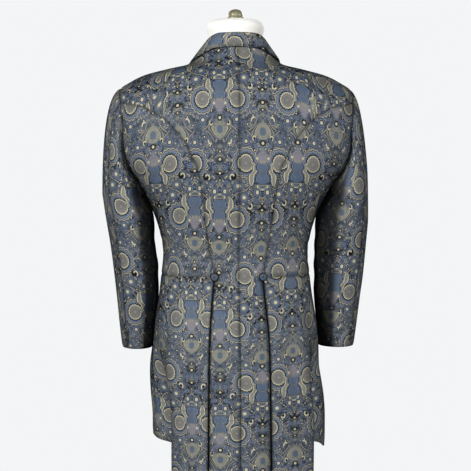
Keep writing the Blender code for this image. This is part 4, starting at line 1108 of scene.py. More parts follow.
def makeBrocade(name, shade=1.0):
    w = Wiring(name)
    c = brocade
    half, row = c["halfWidth"], c["rowHeight"]
    uv = w.nodes.new("ShaderNodeUVMap")
    uv.uv_map = "cloth"
    scaled = w.vector("MULTIPLY", uv.outputs[0], (1000.0, -1000.0, 0.0))
    across, down, _ = w.split(scaled)
    lifted = w.math("ADD", down, row / 2)
    local = w.math("SUBTRACT", w.math("FLOORED_MODULO", lifted, row), row / 2)
    odd = w.math("FLOORED_MODULO", w.math("FLOOR", w.math("DIVIDE", lifted, row)), 2.0)
    y = w.math("MULTIPLY", local, w.math("MULTIPLY_ADD", odd, -2.0, 1.0))
    fold = w.math("PINGPONG", across, half)
    x = w.math("MULTIPLY_ADD", odd, w.math("MULTIPLY_ADD", fold, -2.0, half), fold)
    wobble = w.noise(scaled, 0.05, 1.0)
    p = w.joined(x, y)

    def level(cx, cy, rx, ry):
        away = w.vector("MULTIPLY_ADD", p, (1 / rx, 1 / ry, 0.0), (-cx / rx, -cy / ry, 0.0))
        return w.vector("LENGTH", away)

    def ringed(below, cx, cy, radius, stops, reach=1.2):
        away = w.math("DIVIDE", level(cx, cy, radius, radius), reach)
        colour, share = w.ramp(away, [(s / reach, t) for s, t in stops])
        return w.mixed(below, colour, share)

    # ground: small curls and dots on dark, bluer between the rows
    still = w.joined(fold, down)
    warped = w.vector("ADD", still, w.joined(
        w.math("MULTIPLY", w.math("SINE", w.math("MULTIPLY", down, 0.42)), 1.6),
        w.math("MULTIPLY", w.math("SINE", w.math("MULTIPLY", fold, 0.47)), 1.6),
    ))
    near, picked = w.voronoi(warped, 0.155)
    pickedRed, pickedGreen, _ = w.split(picked)
    dots, dotShare = w.ramp(near, solidStops(
        (0.0, c["cream"]), (0.15, c["black"]), (0.24, c["pale"]), (0.32, c["ink"]), (0.42, c["taupe"]),
        (0.48, c["black"]), (0.60, c["blue"]), (0.70, c["black"]),
    ))
    curls, _ = w.ramp(near, solidStops(
        (0.0, c["taupe"]), (0.18, c["black"]), (0.30, c["cream"]), (0.40, c["black"]), (0.50, c["pale"]),
        (0.58, c["ink"]), (0.66, c["slate"]), (0.74, c["black"]),
    ))
    ground = w.mixed(dots, curls, w.math("GREATER_THAN", pickedRed, 0.5))
    blueWave = w.math("SINE", w.math("MULTIPLY", w.math("ADD", y, -8.0), 0.05))
    blueShare = w.math("MULTIPLY_ADD", blueWave, 0.24, 0.24, clamp=True)
    bluePatch = w.math("MULTIPLY_ADD", pickedGreen, 0.8, 0.4)
    ground = w.mixed(ground, c["slate"], w.math("MULTIPLY", blueShare, bluePatch))
    # long double arcs under and over the round heads
    for cx, cy, radius, sweep in ((44.0, 30.0, 27.0, 1.0), (52.0, -22.0, 35.0, -1.0)):
        away = level(cx, cy, radius, radius)
        band, share = w.ramp(w.math("MULTIPLY_ADD", away, 2.0, -1.5), [
            (0.40, clear), (0.42, c["black"]), (0.46, c["ink"]), (0.48, c["cream"]), (0.53, c["taupe"]),
            (0.56, c["ink"]), (0.60, c["slate"]), (0.64, c["ink"]), (0.67, c["black"]), (0.69, clear),
        ])
        side = w.math("MULTIPLY_ADD", w.math("SUBTRACT", y, cy + sweep * 5), sweep * 0.25, 0.0, clamp=True)
        ground = w.mixed(ground, band, w.math("MULTIPLY", share, side))
    # round head with a scalloped edge, in rings
    hx, hy = w.math("SUBTRACT", x, 33.0), w.math("MULTIPLY", y, 0.88)
    turn = w.math("ARCTAN2", hy, hx)
    scallop = w.math("ABSOLUTE", w.math("SINE", w.math("MULTIPLY", turn, 8.5)))
    rim = w.math("DIVIDE", level(33.0, 0.0, 15.0, 17.0), w.math("MULTIPLY_ADD", scallop, 0.09, 0.95))
    spiral = w.math("MULTIPLY_ADD", turn, 0.022, rim)
    inside, insideShare = w.ramp(w.math("DIVIDE", spiral, 1.8), [
        (s / 1.8, t) for s, t in (
            (0.0, c["lilac"]), (0.13, c["taupe"]), (0.24, c["shadow"]), (0.33, c["olive"]),
            (0.44, c["shadow"]),
            (0.54, c["taupe"]), (0.64, c["shadow"]), (0.73, c["taupe"]), (0.82, c["olive"]),
            (0.86, c["cream"]),
            (0.93, c["cream"]),
            (0.96, c["black"]), (1.08, c["black"]), (1.12, c["blue"]), (1.28, c["slate"]), (1.33, c["pale"]),
            (1.40, c["taupe"]), (1.45, c["ink"]), (1.52, c["slate"]), (1.60, c["cream"]),
            (1.65, c["ink"]), (1.68, clear),
        )
    ])
    cloth = w.mixed(ground, inside, insideShare)
    # tail of the head, rising beside the middle figure
    spine = w.curve(y, ((-44, 0.92), (-36, 0.96), (-26, 0.96), (-16, 0.70), (-8, 0.66), (-1, 0.84),
        (3, 0.98)), -44.0, 3.0)
    width = w.curve(y, ((-44, 0.0), (-38, 0.45), (-28, 0.62), (-16, 0.52), (-8, 0.42), (-1, 0.34),
        (3, 0.0)), -44.0, 3.0)
    offSpine = w.math("ABSOLUTE", w.math("MULTIPLY_ADD", spine, -23.0, x))
    tail = w.math("DIVIDE", offSpine, w.math("MULTIPLY_ADD", width, 9.0, 0.05))
    tailColour, tailShare = w.ramp(w.math("DIVIDE", tail, 1.6), [
        (0.0, c["taupe"]), (0.20, c["olive"]), (0.34, c["taupe"]), (0.40, c["cream"]), (0.56, c["cream"]),
        (0.62, c["ink"]), (0.80, c["ink"]), (0.84, clear),
    ])
    cloth = w.mixed(cloth, tailColour, tailShare)
    # figures on the two axes: each is a drawn width with its own colours down the row
    axes = (
        (x, (
            (-55, 0.0), (-54, 0.0), (-52, 0.30), (-49, 0.48), (-44, 0.58), (-41.5, 0.54), (-39.5, 0.30),
            (-36, 0.56),
            (-31, 0.68), (-25, 0.60), (-18, 0.42), (-12, 0.54), (-7, 0.58), (-2, 0.44), (0, 0.30), (4, 0.44),
            (9, 0.60), (14, 0.42), (22, 0.22),
            (29, 0.05), (37, 0.03), (40, 0.20), (45, 0.62), (50, 0.86), (55, 0.78),
        ), (
            (-55, c["ink"]), (-52, c["taupe"]), (-50, c["lilac"]), (-46, c["lilac"]), (-44, c["olive"]),
            (-41.5, c["taupe"]), (-40.5, c["black"]), (-39, c["blue"]), (-14, c["slate"]),
            (-8, c["blue"]), (-3, c["slate"]),
            (1, c["taupe"]), (6, c["lilac"]), (22, c["lilac"]), (28, c["slate"]), (37, c["ink"]),
            (41, c["taupe"]), (48, c["olive"]), (55, c["taupe"]),
        )),
        (w.math("SUBTRACT", half, x), (
            (-55, 0.0), (-38, 0.04), (-33, 0.20), (-27, 0.10), (-19, 0.36), (-11, 0.12), (-3, 0.14),
            (6, 0.42), (13, 0.14),
            (20, 0.26), (25, 0.10), (29, 0.20), (33, 0.04), (37, 0.04), (44, 0.30), (49, 0.56), (55, 0.78),
        ), (
            (-55, c["ink"]), (-38, c["taupe"]), (-30, c["ink"]), (-20, c["black"]), (-12, c["olive"]),
            (-3, c["slate"]),
            (6, c["black"]), (13, c["taupe"]), (20, c["ink"]), (29, c["olive"]), (36, c["ink"]),
            (41, c["olive"]),
            (48, c["taupe"]), (55, c["olive"]),
        )),
    )
    for away, widths, colours in axes:
        wide = w.curve(y, widths, -55.0, 55.0)
        part = w.math("DIVIDE", away, w.math("MULTIPLY_ADD", wide, 20.0, 0.02))
        figureStops = [((place + 55) / 110, colour) for place, colour in colours]
        figure, _ = w.ramp(w.math("MULTIPLY_ADD", y, 1 / 110.0, 0.5), figureStops)
        edge, share = w.ramp(w.math("DIVIDE", part, 1.5), [
            (0.0, (0.5, 0.5, 0.5, 1.0)), (0.54, (0.5, 0.5, 0.5, 1.0)), (0.58, (0.74, 0.73, 0.69, 1.0)),
            (0.63, (0.74, 0.73, 0.69, 1.0)), (0.66, (0.05, 0.05, 0.07, 1.0)), (0.73, (0.05, 0.05, 0.07, 1.0)),
            (0.77, (0.45, 0.47, 0.52, 1.0)), (0.85, (0.45, 0.47, 0.52, 1.0)), (0.89, clear),
        ])
        cloth = w.mixed(cloth, w.mixed(figure, edge, 0.9, "OVERLAY"), share)
    # arched cap over the middle figure
    arch, archShare = w.ramp(w.math("DIVIDE", level(0.0, -43.0, 13.5, 10.5), 1.3), [
        (0.0, c["blue"]), (0.22, c["slate"]), (0.32, c["ink"]), (0.38, c["taupe"]), (0.50, c["olive"]),
        (0.57, c["cream"]),
        (0.66, c["cream"]), (0.70, c["black"]), (0.78, c["black"]), (0.83, clear),
    ])
    above = w.math("MULTIPLY_ADD", y, -0.6, -25.2, clamp=True)
    cloth = w.mixed(cloth, arch, w.math("MULTIPLY", archShare, above))
    # small marks between the lines of the larger figures
    near, picked = w.voronoi(still, 0.175)
    mark, markShare = w.ramp(near, [
        (0.0, c["cream"]), (0.15, c["cream"]), (0.21, c["black"]), (0.30, c["ink"]), (0.36, c["pale"]),
        (0.42, c["pale"]),
        (0.48, clear),
    ])
    chosen = w.math("GREATER_THAN", w.split(picked)[0], 0.45)
    outside = w.math("GREATER_THAN", rim, 1.0)
    marked = w.math("MULTIPLY", w.math("MULTIPLY", markShare, chosen), w.math("MULTIPLY", outside, 0.50))
    cloth = w.mixed(cloth, mark, marked)
    # ringed dots and small rings
    eye = [(0.0, c["cream"]), (0.30, c["cream"]), (0.40, c["taupe"]), (0.52, c["ink"]),
           (0.64, c["black"]), (0.70, c["pale"]),
           (0.90, c["blue"]), (0.98, c["ink"]), (1.06, clear)]
    double = [(0.0, c["cream"]), (0.26, c["cream"]), (0.36, c["taupe"]), (0.48, c["olive"]),
              (0.54, c["ink"]), (0.60, c["blue"]),
              (0.72, c["pale"]), (0.76, c["ink"]), (0.84, c["slate"]), (0.96, c["blue"]),
              (1.02, c["ink"]), (1.08, clear)]
    bead = [(0.0, c["cream"]), (0.45, c["cream"]), (0.60, c["black"]), (1.00, c["black"]), (1.06, clear)]
    small = [(0.0, c["slate"]), (0.30, c["pale"]), (0.42, c["ink"]), (0.58, c["ink"]), (0.66, c["pale"]),
             (0.94, c["blue"]),
             (1.0, c["ink"]), (1.05, clear)]
    heart = [(0.0, c["blue"]), (0.55, c["blue"]), (0.80, c["slate"]), (1.05, clear)]
    lobe = [(0.0, c["cream"]), (0.35, c["cream"]), (0.60, c["taupe"]), (0.95, c["lilac"]), (1.1, clear)]
    for cx, cy, radius, stops in (
        (46.0, -44.0, 10.0, double), (33.0, 37.0, 7.5, eye), (10.0, -55.0, 7.5, eye), (72.0, -53.0, 7.5, eye),
        (73.0, -8.0, 4.8, small), (70.0, -37.0, 4.2, small), (14.0, 29.0, 4.0, small),
        (58.0, 16.0, 3.6, small),
        (82.0, -32.0, 2.6, bead), (82.0, -19.0, 4.2, bead), (82.0, 6.5, 4.8, bead), (82.0, 20.0, 3.0, bead),
        (0.0, 34.0, 5.0, bead), (11.0, 8.0, 4.2, lobe), (0.0, -22.0, 3.0, small),
        (0.0, 52.0, 6.0, heart), (82.0, 56.0, 6.0, heart), (16.0, 22.0, 2.6, bead), (40.0, -24.0, 2.2, bead),
        (57.0, -12.0, 2.6, bead), (63.0, 30.0, 2.8, bead), (52.0, 45.0, 2.6, bead), (60.0, -50.0, 2.6, bead),
        (25.0, -50.0, 2.4, bead), (67.0, 12.0, 2.2, bead),
    ):
        cloth = ringed(cloth, cx, cy, radius, stops)
    # hooked leaves
    for cx, cy, radius, open_ in ((58.0, -27.0, 5.2, 1.0), (64.0, 39.0, 5.6, -1.0), (17.0, 42.0, 3.6, 1.0)):
        hook, share = w.ramp(w.math("DIVIDE", level(cx, cy, radius, radius * 1.3), 1.3), [
            (0.0, c["black"]), (0.34, c["black"]), (0.40, c["taupe"]), (0.52, c["cream"]),
            (0.74, c["cream"]), (0.80, c["black"]),
            (0.88, clear),
        ])
        side = w.math("SUBTRACT", w.math("ADD", x, y), cx + cy - 2.5)
        side = w.math("MULTIPLY_ADD", side, open_ * 0.8, 0.0, clamp=True)
        cloth = w.mixed(cloth, hook, w.math("MULTIPLY", share, side))
    # threads: ribs across, slight streaks down
    rib = w.math("SINE", w.math("MULTIPLY", down, 2 * math.pi / 0.9))
    twill = w.math("SINE", w.math("MULTIPLY", w.math("MULTIPLY_ADD", down, 0.6, across), 2 * math.pi / 0.8))
    weave = w.math("MULTIPLY_ADD", twill, 0.5, rib)
    streak = w.noise(w.vector("MULTIPLY", scaled, (1.1, 0.03, 0.0)), 1.0, 2.0)
    tone = w.math("MULTIPLY_ADD", streak, 0.35, 0.82)
    speck = w.noise(w.vector("MULTIPLY", scaled, (0.9, 0.6, 0.0)), 1.0, 3.0, 0.7)
    tone = w.math("MULTIPLY", tone, w.math("MULTIPLY_ADD", speck, 0.9, 0.55))
    tone = w.math("MULTIPLY", tone, w.math("MULTIPLY_ADD", wobble, 0.30 * shade, 0.85 * shade))
    tone = w.math("MULTIPLY_ADD", weave, 0.035 * shade, tone)
    # painted shade: darker where the 'seam' attribute holds painted shade, and where the cloth turns away,
    # partly its dark ground threads showing and partly painted shade
    seam = w.nodes.new("ShaderNodeAttribute")
    seam.attribute_name = "seam"
    tone = w.math("MULTIPLY", tone, w.math("MULTIPLY_ADD", seam.outputs["Fac"], -0.5, 1.0, clamp=True))
    turned = w.nodes.new("ShaderNodeLayerWeight").outputs["Facing"]
    tone = w.math("MULTIPLY", tone, w.math("MULTIPLY_ADD", w.math("POWER", turned, 1.6), -0.72, 1.0))
    cloth = w.mixed(cloth, w.joined(tone, tone, tone), 1.0, "MULTIPLY")
    light = w.nodes.new("ShaderNodeRGBToBW")
    w.put(light.inputs[0], cloth)
    w.put(w.shader.inputs["Base Color"], cloth)
    low, high = c["roughness"]
    w.put(w.shader.inputs["Roughness"], w.math("MULTIPLY_ADD", light.outputs[0], high - low, low))
    gloss = w.math("MULTIPLY_ADD", turned, -1.5 * c["specular"], c["specular"], clamp=True)
    w.put(w.shader.inputs["Specular IOR Level"], gloss)
    w.put(w.shader.inputs["Normal"], w.bump(weave, c["threadRelief"], 0.6))
    return w.material


def makeFabric(name, colour, rough, grain, depth, sheen=0.1, variation=0.10):
    # plain woven or knitted cloth on the piece's own coordinates
    w = Wiring(name)
    place = w.nodes.new("ShaderNodeTexCoord").outputs["Object"]
    fine = w.noise(w.vector("MULTIPLY", place, (grain, grain, grain * 0.35)), 1.0, 3.0)
    broad = w.noise(place, 9.0, 3.0)
    dark = tuple(v * (1 - variation) for v in colour[:3]) + (1.0,)
    pale = tuple(min(v * (1 + variation), 1.0) for v in colour[:3]) + (1.0,)
    uneven = w.math("MULTIPLY_ADD", fine, 0.5, w.math("MULTIPLY", broad, 0.5))
    tone, _ = w.ramp(uneven, ((0.30, dark), (0.70, pale)))
    w.put(w.shader.inputs["Base Color"], tone)
    w.put(w.shader.inputs["Roughness"], w.math("MULTIPLY_ADD", broad, 0.12, rough - 0.06))
    w.shader.inputs["Sheen Weight"].default_value = sheen
    w.put(w.shader.inputs["Normal"], w.bump(fine, depth))
    return w.material


def makeHard(name, colour, rough, metallic, scratch=0.06, grain=60.0, depth=0.00005, worn=None):
    # metal, horn or enamel with fine wear
    w = Wiring(name)
    place = w.nodes.new("ShaderNodeTexCoord").outputs["Object"]
    fine = w.noise(place, grain * 6, 4.0, 0.6)
    broad = w.noise(place, grain, 3.0)
    worn = worn or tuple(min(v * 1.35 + 0.01, 1.0) for v in colour[:3]) + (1.0,)
    tone, _ = w.ramp(broad, ((0.38, colour), (0.52, colour), (0.70, worn)))
    w.put(w.shader.inputs["Base Color"], tone)
    w.put(w.shader.inputs["Roughness"], w.math("MULTIPLY_ADD", fine, scratch * 2, rough - scratch))
    w.shader.inputs["Metallic"].default_value = metallic
    w.put(w.shader.inputs["Normal"], w.bump(fine, depth))
    return w.material


finishes = {
    # the covered buttons' cloth is a darker copy of the brocade: painted shade
    "brocade": makeBrocade("brocade", 0.99), "buttonCloth": makeBrocade("buttonCloth", 0.72),
    "lining": makeFabric("coatLining", thread(46, 50, 62), 0.34, 2400.0, 0.00004, 0.15),
    "jersey": makeFabric("formJersey", thread(236, 236, 232), 0.82, 1500.0, 0.00010, 0.25, 0.03),
    "horn": makeHard("darkHorn", thread(30, 29, 32), 0.30, 0.0),
    "finial": makeHard("finialBrass", thread(132, 128, 104), 0.42, 0.35),
    "steel": makeHard("poleSteel", thread(186, 188, 190), 0.26, 1.0),
    "iron": makeHard("baseIron", thread(38, 38, 40), 0.42, 0.5),
    "silk": makeFabric("stitchSilk", thread(52, 58, 74), 0.40, 3000.0, 0.00003, 0.2),
}
print("materials made")
coatFinish = [finishes["brocade"], finishes["lining"]]

clothPieces = {}
for side in (1, -1):
    made = [addBack(side, coatFinish), addSideBody(side, coatFinish), addFront(side, coatFinish)]
    made += [addSkirt(side, coatFinish), *addSleeve(side, coatFinish), addLapel(side, coatFinish)]
    clothPieces.update({piece.name: piece for piece in made})
clothPieces.update({piece.name: piece for piece in addCollar(coatFinish)})
print("coat pieces made:", len(clothPieces))


def turnedMesh(name, profile, finish, steps=64, sharp=35):
    # solid of revolution about Z from radius and height
    shape = bmesh.new()
    rim = [shape.verts.new((r, 0, z)) for r, z in profile]
    chain = [shape.verts.new((0, 0, profile[0][1])), *rim, shape.verts.new((0, 0, profile[-1][1]))]
    edges = [shape.edges.new(pair) for pair in zip(chain, chain[1:])]
    bmesh.ops.spin(
        shape, geom=[*chain, *edges], cent=(0, 0, 0), axis=(0, 0, 1),
        angle=2 * math.pi, steps=steps, use_merge=True,
    )
    bmesh.ops.remove_doubles(shape, verts=shape.verts, dist=1e-6)
    bmesh.ops.recalc_face_normals(shape, faces=shape.faces)
    mesh = bpy.data.meshes.new(name)
    shape.to_mesh(mesh)
    shape.free()
    mesh.materials.append(finish)
    mesh.shade_smooth()
    mesh.set_sharp_from_angle(angle=math.radians(sharp))
    made = bpy.data.objects.new(name, mesh)
    bpy.context.scene.collection.objects.link(made)
    return made


def rounded(points, radius, steps=4):
    # profile with its inner corners rounded
    made = [points[0]]
    for before, here, after in zip(points, points[1:], points[2:]):
        a, b, c = (np.array(p, float) for p in (before, here, after))
        reach = min(radius, np.linalg.norm(a - b) * 0.45, np.linalg.norm(c - b) * 0.45)
        start, end = b + unit(a - b) * reach, b + unit(c - b) * reach
        for t in np.linspace(0, 1, steps + 1):
            made.append(tuple((1 - t) ** 2 * start + 2 * t * (1 - t) * b + t ** 2 * end))
    made.append(points[-1])
    return made


# buttons: covered ones at the hips and down the front, dark horn on the cuffs
buttonMake = {
    "hip": (0.0088, 0.0048), "front": (0.0105, 0.0050), "cuff": (0.0060, 0.0036),  # radius and thickness
}


def seatedOn(node, radius, thick):
    # middle and direction of a button, read from its solid in the frame
    low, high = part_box(node)
    points = np.array([v.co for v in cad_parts[node].data.vertices], float)
    middle = points.mean(axis=0)
    _, _, ways = np.linalg.svd(points - middle, full_matrices=False)
    out = ways[2]
    # the wider end is the back, so the face is the side whose rim is smaller
    along = (points - middle) @ out
    reach = np.linalg.norm((points - middle) - along[:, None] * out, axis=1)
    if reach[along > np.percentile(along, 75)].max() > reach[along < np.percentile(along, 25)].max():
        out = -out
        along = -along
    return middle + out * along.min(), out


def addButton(node, kind):
    radius, thick = buttonMake[kind]
    point, out = seatedOn(node, radius, thick)
    if kind == "cuff":
        profile = [
            (radius * 0.80, 0.0), (radius, thick * 0.25), (radius, thick * 0.62), (radius * 0.86, thick),
            (radius * 0.68, thick * 0.94), (radius * 0.56, thick * 0.62), (radius * 0.10, thick * 0.58),
        ]
    else:
        domeTurns = np.linspace(0.25, 1.45, 7)
        dome = [(radius * math.cos(t) * 0.97, thick * (0.42 + 0.58 * math.sin(t))) for t in domeTurns]
        profile = [(radius * 0.86, 0.0), (radius, thick * 0.16), (radius, thick * 0.40), *dome]
    finish = finishes["horn"] if kind == "cuff" else finishes["buttonCloth"]
    name = "".join(word.capitalize() if n else word for n, word in enumerate(node.split("_")))
    made = turnedMesh(name, rounded(profile, radius * 0.12, 3), finish, steps=40)
    mesh = made.data
    spin = Vector(out).to_track_quat("Z", "Y").to_matrix().to_4x4()
    place = mesh.uv_layers.new(name="cloth")
    for loop in mesh.loops:
        spot = mesh.vertices[loop.vertex_index].co
        place.data[loop.index].uv = (spot.x * 0.8, spot.y * 0.8 + 0.012)
    if kind != "cuff":
        # painted shade: darker round the rim, where the cloth turns under, and in the middle
        reach = np.array([math.hypot(v.co.x, v.co.y) / radius for v in mesh.vertices])
        rim = 1.8 * ease((reach - 0.62) / 0.25) + 1.1 * ease((0.32 - reach) / 0.12)
        mesh.attributes.new("seam", "FLOAT", "POINT").data.foreach_set("value", rim.astype(np.float32))
    mesh.transform(spin)
    mesh.transform(Matrix.Translation(Vector(point)))
    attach(made, "root")
    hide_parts(node)
    return made


for node in sorted(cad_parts):
    if "button" in node:
        addButton(node, node.split("_")[0])
print("buttons made")


# stitches: one tree sets a thread at every step along a line
buttonhole = {"inside": 0.002, "outside": 0.020, "halfHeight": 0.0012, "steps": 14, "lift": 0.0002}


def stitchTree():
    tree = bpy.data.node_groups.new("stitchRow", "GeometryNodeTree")
    for title, kind in (
        ("Path", "Geometry"), ("Spacing", "Float"), ("Length", "Float"), ("Thickness", "Float"),
        ("Turn", "Float"),
        ("Jitter", "Float"), ("Seed", "Int"), ("Thread", "Material"),
    ):
        tree.interface.new_socket(title, in_out="INPUT", socket_type=f"NodeSocket{kind}")
    tree.interface.new_socket("Stitches", in_out="OUTPUT", socket_type="NodeSocketGeometry")
    given = tree.nodes.new("NodeGroupInput").outputs

    def add(kind, inputs, **settings):
        node = tree.nodes.new(kind)
        for key, value in settings.items():
            setattr(node, key, value)
        for key, value in inputs.items():
            if isinstance(value, bpy.types.NodeSocket):
                tree.links.new(value, node.inputs[key])
            else:
                node.inputs[key].default_value = value
        return node.outputs

    def times(value, factor):
        return add("ShaderNodeMath", {0: value, 1: factor}, operation="MULTIPLY")[0]

    half, thick = times(given["Length"], 0.5), given["Thickness"]
    start = add("ShaderNodeCombineXYZ", {"X": times(half, -1.0), "Z": times(thick, -0.5)})[0]
    crown = add("ShaderNodeCombineXYZ", {"Z": times(thick, 1.3)})[0]
    end = add("ShaderNodeCombineXYZ", {"X": half, "Z": times(thick, -0.5)})[0]
    archInputs = {"Resolution": 4, "Start": start, "Middle": crown, "End": end}
    arch = add("GeometryNodeCurveQuadraticBezier", archInputs)[0]
    ring = add("GeometryNodeCurvePrimitiveCircle", {"Resolution": 5, "Radius": times(thick, 0.5)})[0]
    thread = add("GeometryNodeCurveToMesh", {"Curve": arch, "Profile Curve": ring, "Fill Caps": True})[0]
    line = add("GeometryNodeMeshToCurve", {"Mesh": given["Path"]})[0]
    steps = add("GeometryNodeResampleCurve", {"Curve": line, "Length": given["Spacing"]}, mode="LENGTH")[0]
    outward = add("GeometryNodeInputNamedAttribute", {"Name": "outward"}, data_type="FLOAT_VECTOR")[0]
    along = add("GeometryNodeInputTangent", {})[0]
    up = add("FunctionNodeAlignRotationToVector", {"Vector": outward}, axis="Z")[0]
    towardInputs = {"Rotation": up, "Vector": along}
    way = add("FunctionNodeAlignRotationToVector", towardInputs, axis="X", pivot_axis="Z")[0]
    shakeInputs = {2: times(given["Jitter"], -1.0), 3: given["Jitter"], "Seed": given["Seed"]}
    shake = add("FunctionNodeRandomValue", shakeInputs)[1]
    swing = add("ShaderNodeMath", {0: given["Turn"], 1: shake}, operation="ADD")[0]
    spin = add("FunctionNodeEulerToRotation", {0: add("ShaderNodeCombineXYZ", {"Z": swing})[0]})[0]
    facing = add("FunctionNodeRotateRotation", {0: way, 1: spin}, rotation_space="LOCAL")[0]
    rows = add("GeometryNodeInstanceOnPoints", {"Points": steps, "Instance": thread, "Rotation": facing})[0]
    solid = add("GeometryNodeSetShadeSmooth", {0: add("GeometryNodeRealizeInstances", {0: rows})[0]})[0]
    done = add("GeometryNodeSetMaterial", {"Geometry": solid, "Material": given["Thread"]})[0]
    tree.links.new(done, tree.nodes.new("NodeGroupOutput").inputs[0])
    return tree


def sewn(name, lines, tree, settings):
    spots, outs, edges = [], [], []
    for line, normal, closed in lines:
        start, count = len(spots), len(line)
        spots += line.tolist()
        outs += normal.tolist()
        edges += [(start + k, start + k + 1) for k in range(count - 1)]
        edges += [(start + count - 1, start)] if closed else []
    mesh = bpy.data.meshes.new(name)
    mesh.from_pydata(spots, edges, [])
    outward = mesh.attributes.new("outward", "FLOAT_VECTOR", "POINT")
    outward.data.foreach_set("vector", np.array(outs, np.float32).reshape(-1))
    made = bpy.data.objects.new(name, mesh)
    bpy.context.scene.collection.objects.link(made)
    sews = made.modifiers.new("sews", "NODES")
    sews.node_group = tree
    for item in tree.interface.items_tree:
        if item.name in settings:
            sews[item.identifier] = settings[item.name]
    seen = made.evaluated_get(bpy.context.evaluated_depsgraph_get())
    made.data = bpy.data.meshes.new_from_object(seen)
    made.modifiers.clear()
    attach(made, "root")
    return made


def buttonholeLine(node):
    spot, _ = seatedOn(node, *buttonMake["front"])
    b = buttonhole
    turn = np.linspace(0, 2 * math.pi, b["steps"] * 2, endpoint=False)
    x = spot[0] + (b["outside"] - b["inside"]) / 2 + (b["outside"] + b["inside"]) / 2 * np.cos(turn)
    z = spot[2] + b["halfHeight"] * np.sign(np.sin(turn)) * np.abs(np.sin(turn)) ** 0.5
    points = seenPoint(np.abs(x), z, "front")
    normal = coatNormal(angleOf(points), z)
    return points + normal * b["lift"], normal, True


stitches = stitchTree()
sewn("edgeStitches", sewing, stitches, {
    "Spacing": edgeStitch["spacing"], "Length": edgeStitch["length"], "Thickness": edgeStitch["thickness"],
    "Turn": 0.0, "Jitter": 0.12, "Seed": 11, "Thread": finishes["silk"],
})
holes = [buttonholeLine(node) for node in sorted(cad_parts) if node.startswith("front_button")]
sewn("buttonholeStitches", holes, stitches, {
    "Spacing": 0.0007, "Length": 0.0019, "Thickness": 0.0006, "Turn": math.pi / 2, "Jitter": 0.1, "Seed": 5,
    "Thread": finishes["silk"],
})
print("stitches made")


# dress form: closed torso just inside the coat, cut flat where the arms would start
form = {
    # height, clearance to the inside of the cloth
    "clearance": (
        (0.860, 0.0240), (0.905, 0.0150), (0.960, 0.0120), (1.041, 0.0090), (1.086, 0.0080), (1.160, 0.0080),
        (1.235, 0.0090), (1.300, 0.0090), (1.360, 0.0080), (1.400, 0.0060), (1.425, 0.0035), (1.444, 0.0030),
        (1.457, 0.0030), (1.467, 0.0030), (1.476, 0.0030),
    ),
    # height, half width, depth back, depth front
    "neck": (
        (1.4850, 0.0650, 0.0570, 0.0520), (1.4950, 0.0570, 0.0530, 0.0480), (1.5080, 0.0540, 0.0515, 0.0465),
        (1.5260, 0.0565, 0.0515, 0.0465), (1.5400, 0.0590, 0.0520, 0.0470), (1.5490, 0.0560, 0.0490, 0.0445),
        (1.5555, 0.0475, 0.0415, 0.0375), (1.5588, 0.0330, 0.0290, 0.0265), (1.5596, 0.0180, 0.0160, 0.0145),
    ),
    "armPlate": 0.178, "foot": 0.860, "crown": 1.5598, "steps": 120,
    "seamDip": 0.0006, "seamHalfWidth": 1.1,  # sewn lines of the cover: depth, half width in degrees
}
clearanceAt, neckAt = smoothTable(form["clearance"]), smoothTable(form["neck"])


def addForm():
    turn = np.arange(form["steps"]) * (2 * math.pi / form["steps"])
    rows = []
    for z in np.linspace(form["foot"], form["clearance"][-1][0], 150):
        heights = np.full(len(turn), z)
        out = coatNormal(turn, heights)
        row = coatPoint(turn, heights) - out * (wall + clearanceAt(heights))
        row[:, 0] = np.clip(row[:, 0], -form["armPlate"], form["armPlate"])
        row[:, 2] = z + (row[:, 2] - z) * ease((z - 1.345) / 0.03)
        rows.append(row)
    for z in np.linspace(form["neck"][0][0], form["neck"][-1][0], 48):
        half, deepBack, deepFront = neckAt(z)
        depth = np.where(np.cos(turn) >= 0, deepBack, deepFront)
        rows.append(np.stack([half * np.sin(turn), depth * np.cos(turn), np.full(len(turn), z)], -1))
    grid = np.array(rows)
    # sewn lines of the cover at the centre back, the centre front and the sides
    middle = grid.mean(axis=1, keepdims=True)
    away = np.abs((np.degrees(turn) + 45) % 90 - 45)
    dip = form["seamDip"] * np.exp(-((away / (2.2 * form["seamHalfWidth"])) ** 2))
    grid[:-2] -= (unit(grid - middle) * [1, 1, 0] * dip[None, :, None])[:-2]
    count, around = grid.shape[:2]
    points = np.concatenate([grid.reshape(-1, 3), [[0, 0, grid[0, 0, 2]], [0, 0, form["crown"]]]])
    low, high = count * around, count * around + 1
    faces = []
    for j in range(around):
        k = (j + 1) % around
        faces += [(low, j, k), (high, (count - 1) * around + k, (count - 1) * around + j)]
        for ringStart in range(0, (count - 1) * around, around):
            nextRing = ringStart + around
            faces.append((ringStart + j, nextRing + j, nextRing + k, ringStart + k))
    mesh = bpy.data.meshes.new("formTorso")
    mesh.from_pydata(points.tolist(), [], faces)
    made = bpy.data.objects.new("formTorso", mesh)
    bpy.context.scene.collection.objects.link(made)
    shape = bmesh.new()
    shape.from_mesh(mesh)
    bmesh.ops.recalc_face_normals(shape, faces=shape.faces)
    shape.to_mesh(mesh)
    shape.free()
    mesh.materials.append(finishes["jersey"])
    mesh.shade_smooth()
    mesh.set_sharp_from_angle(angle=math.radians(50))
    return made


# stand: base with a hub, pole, and the knob on the neck
stand = {
    "pole": 0.0150, "collar": 0.0240, "base": 0.190, "baseHeight": 0.016, "hub": 0.032, "hubHeight": 0.060,
    "fit": 0.0003,
}


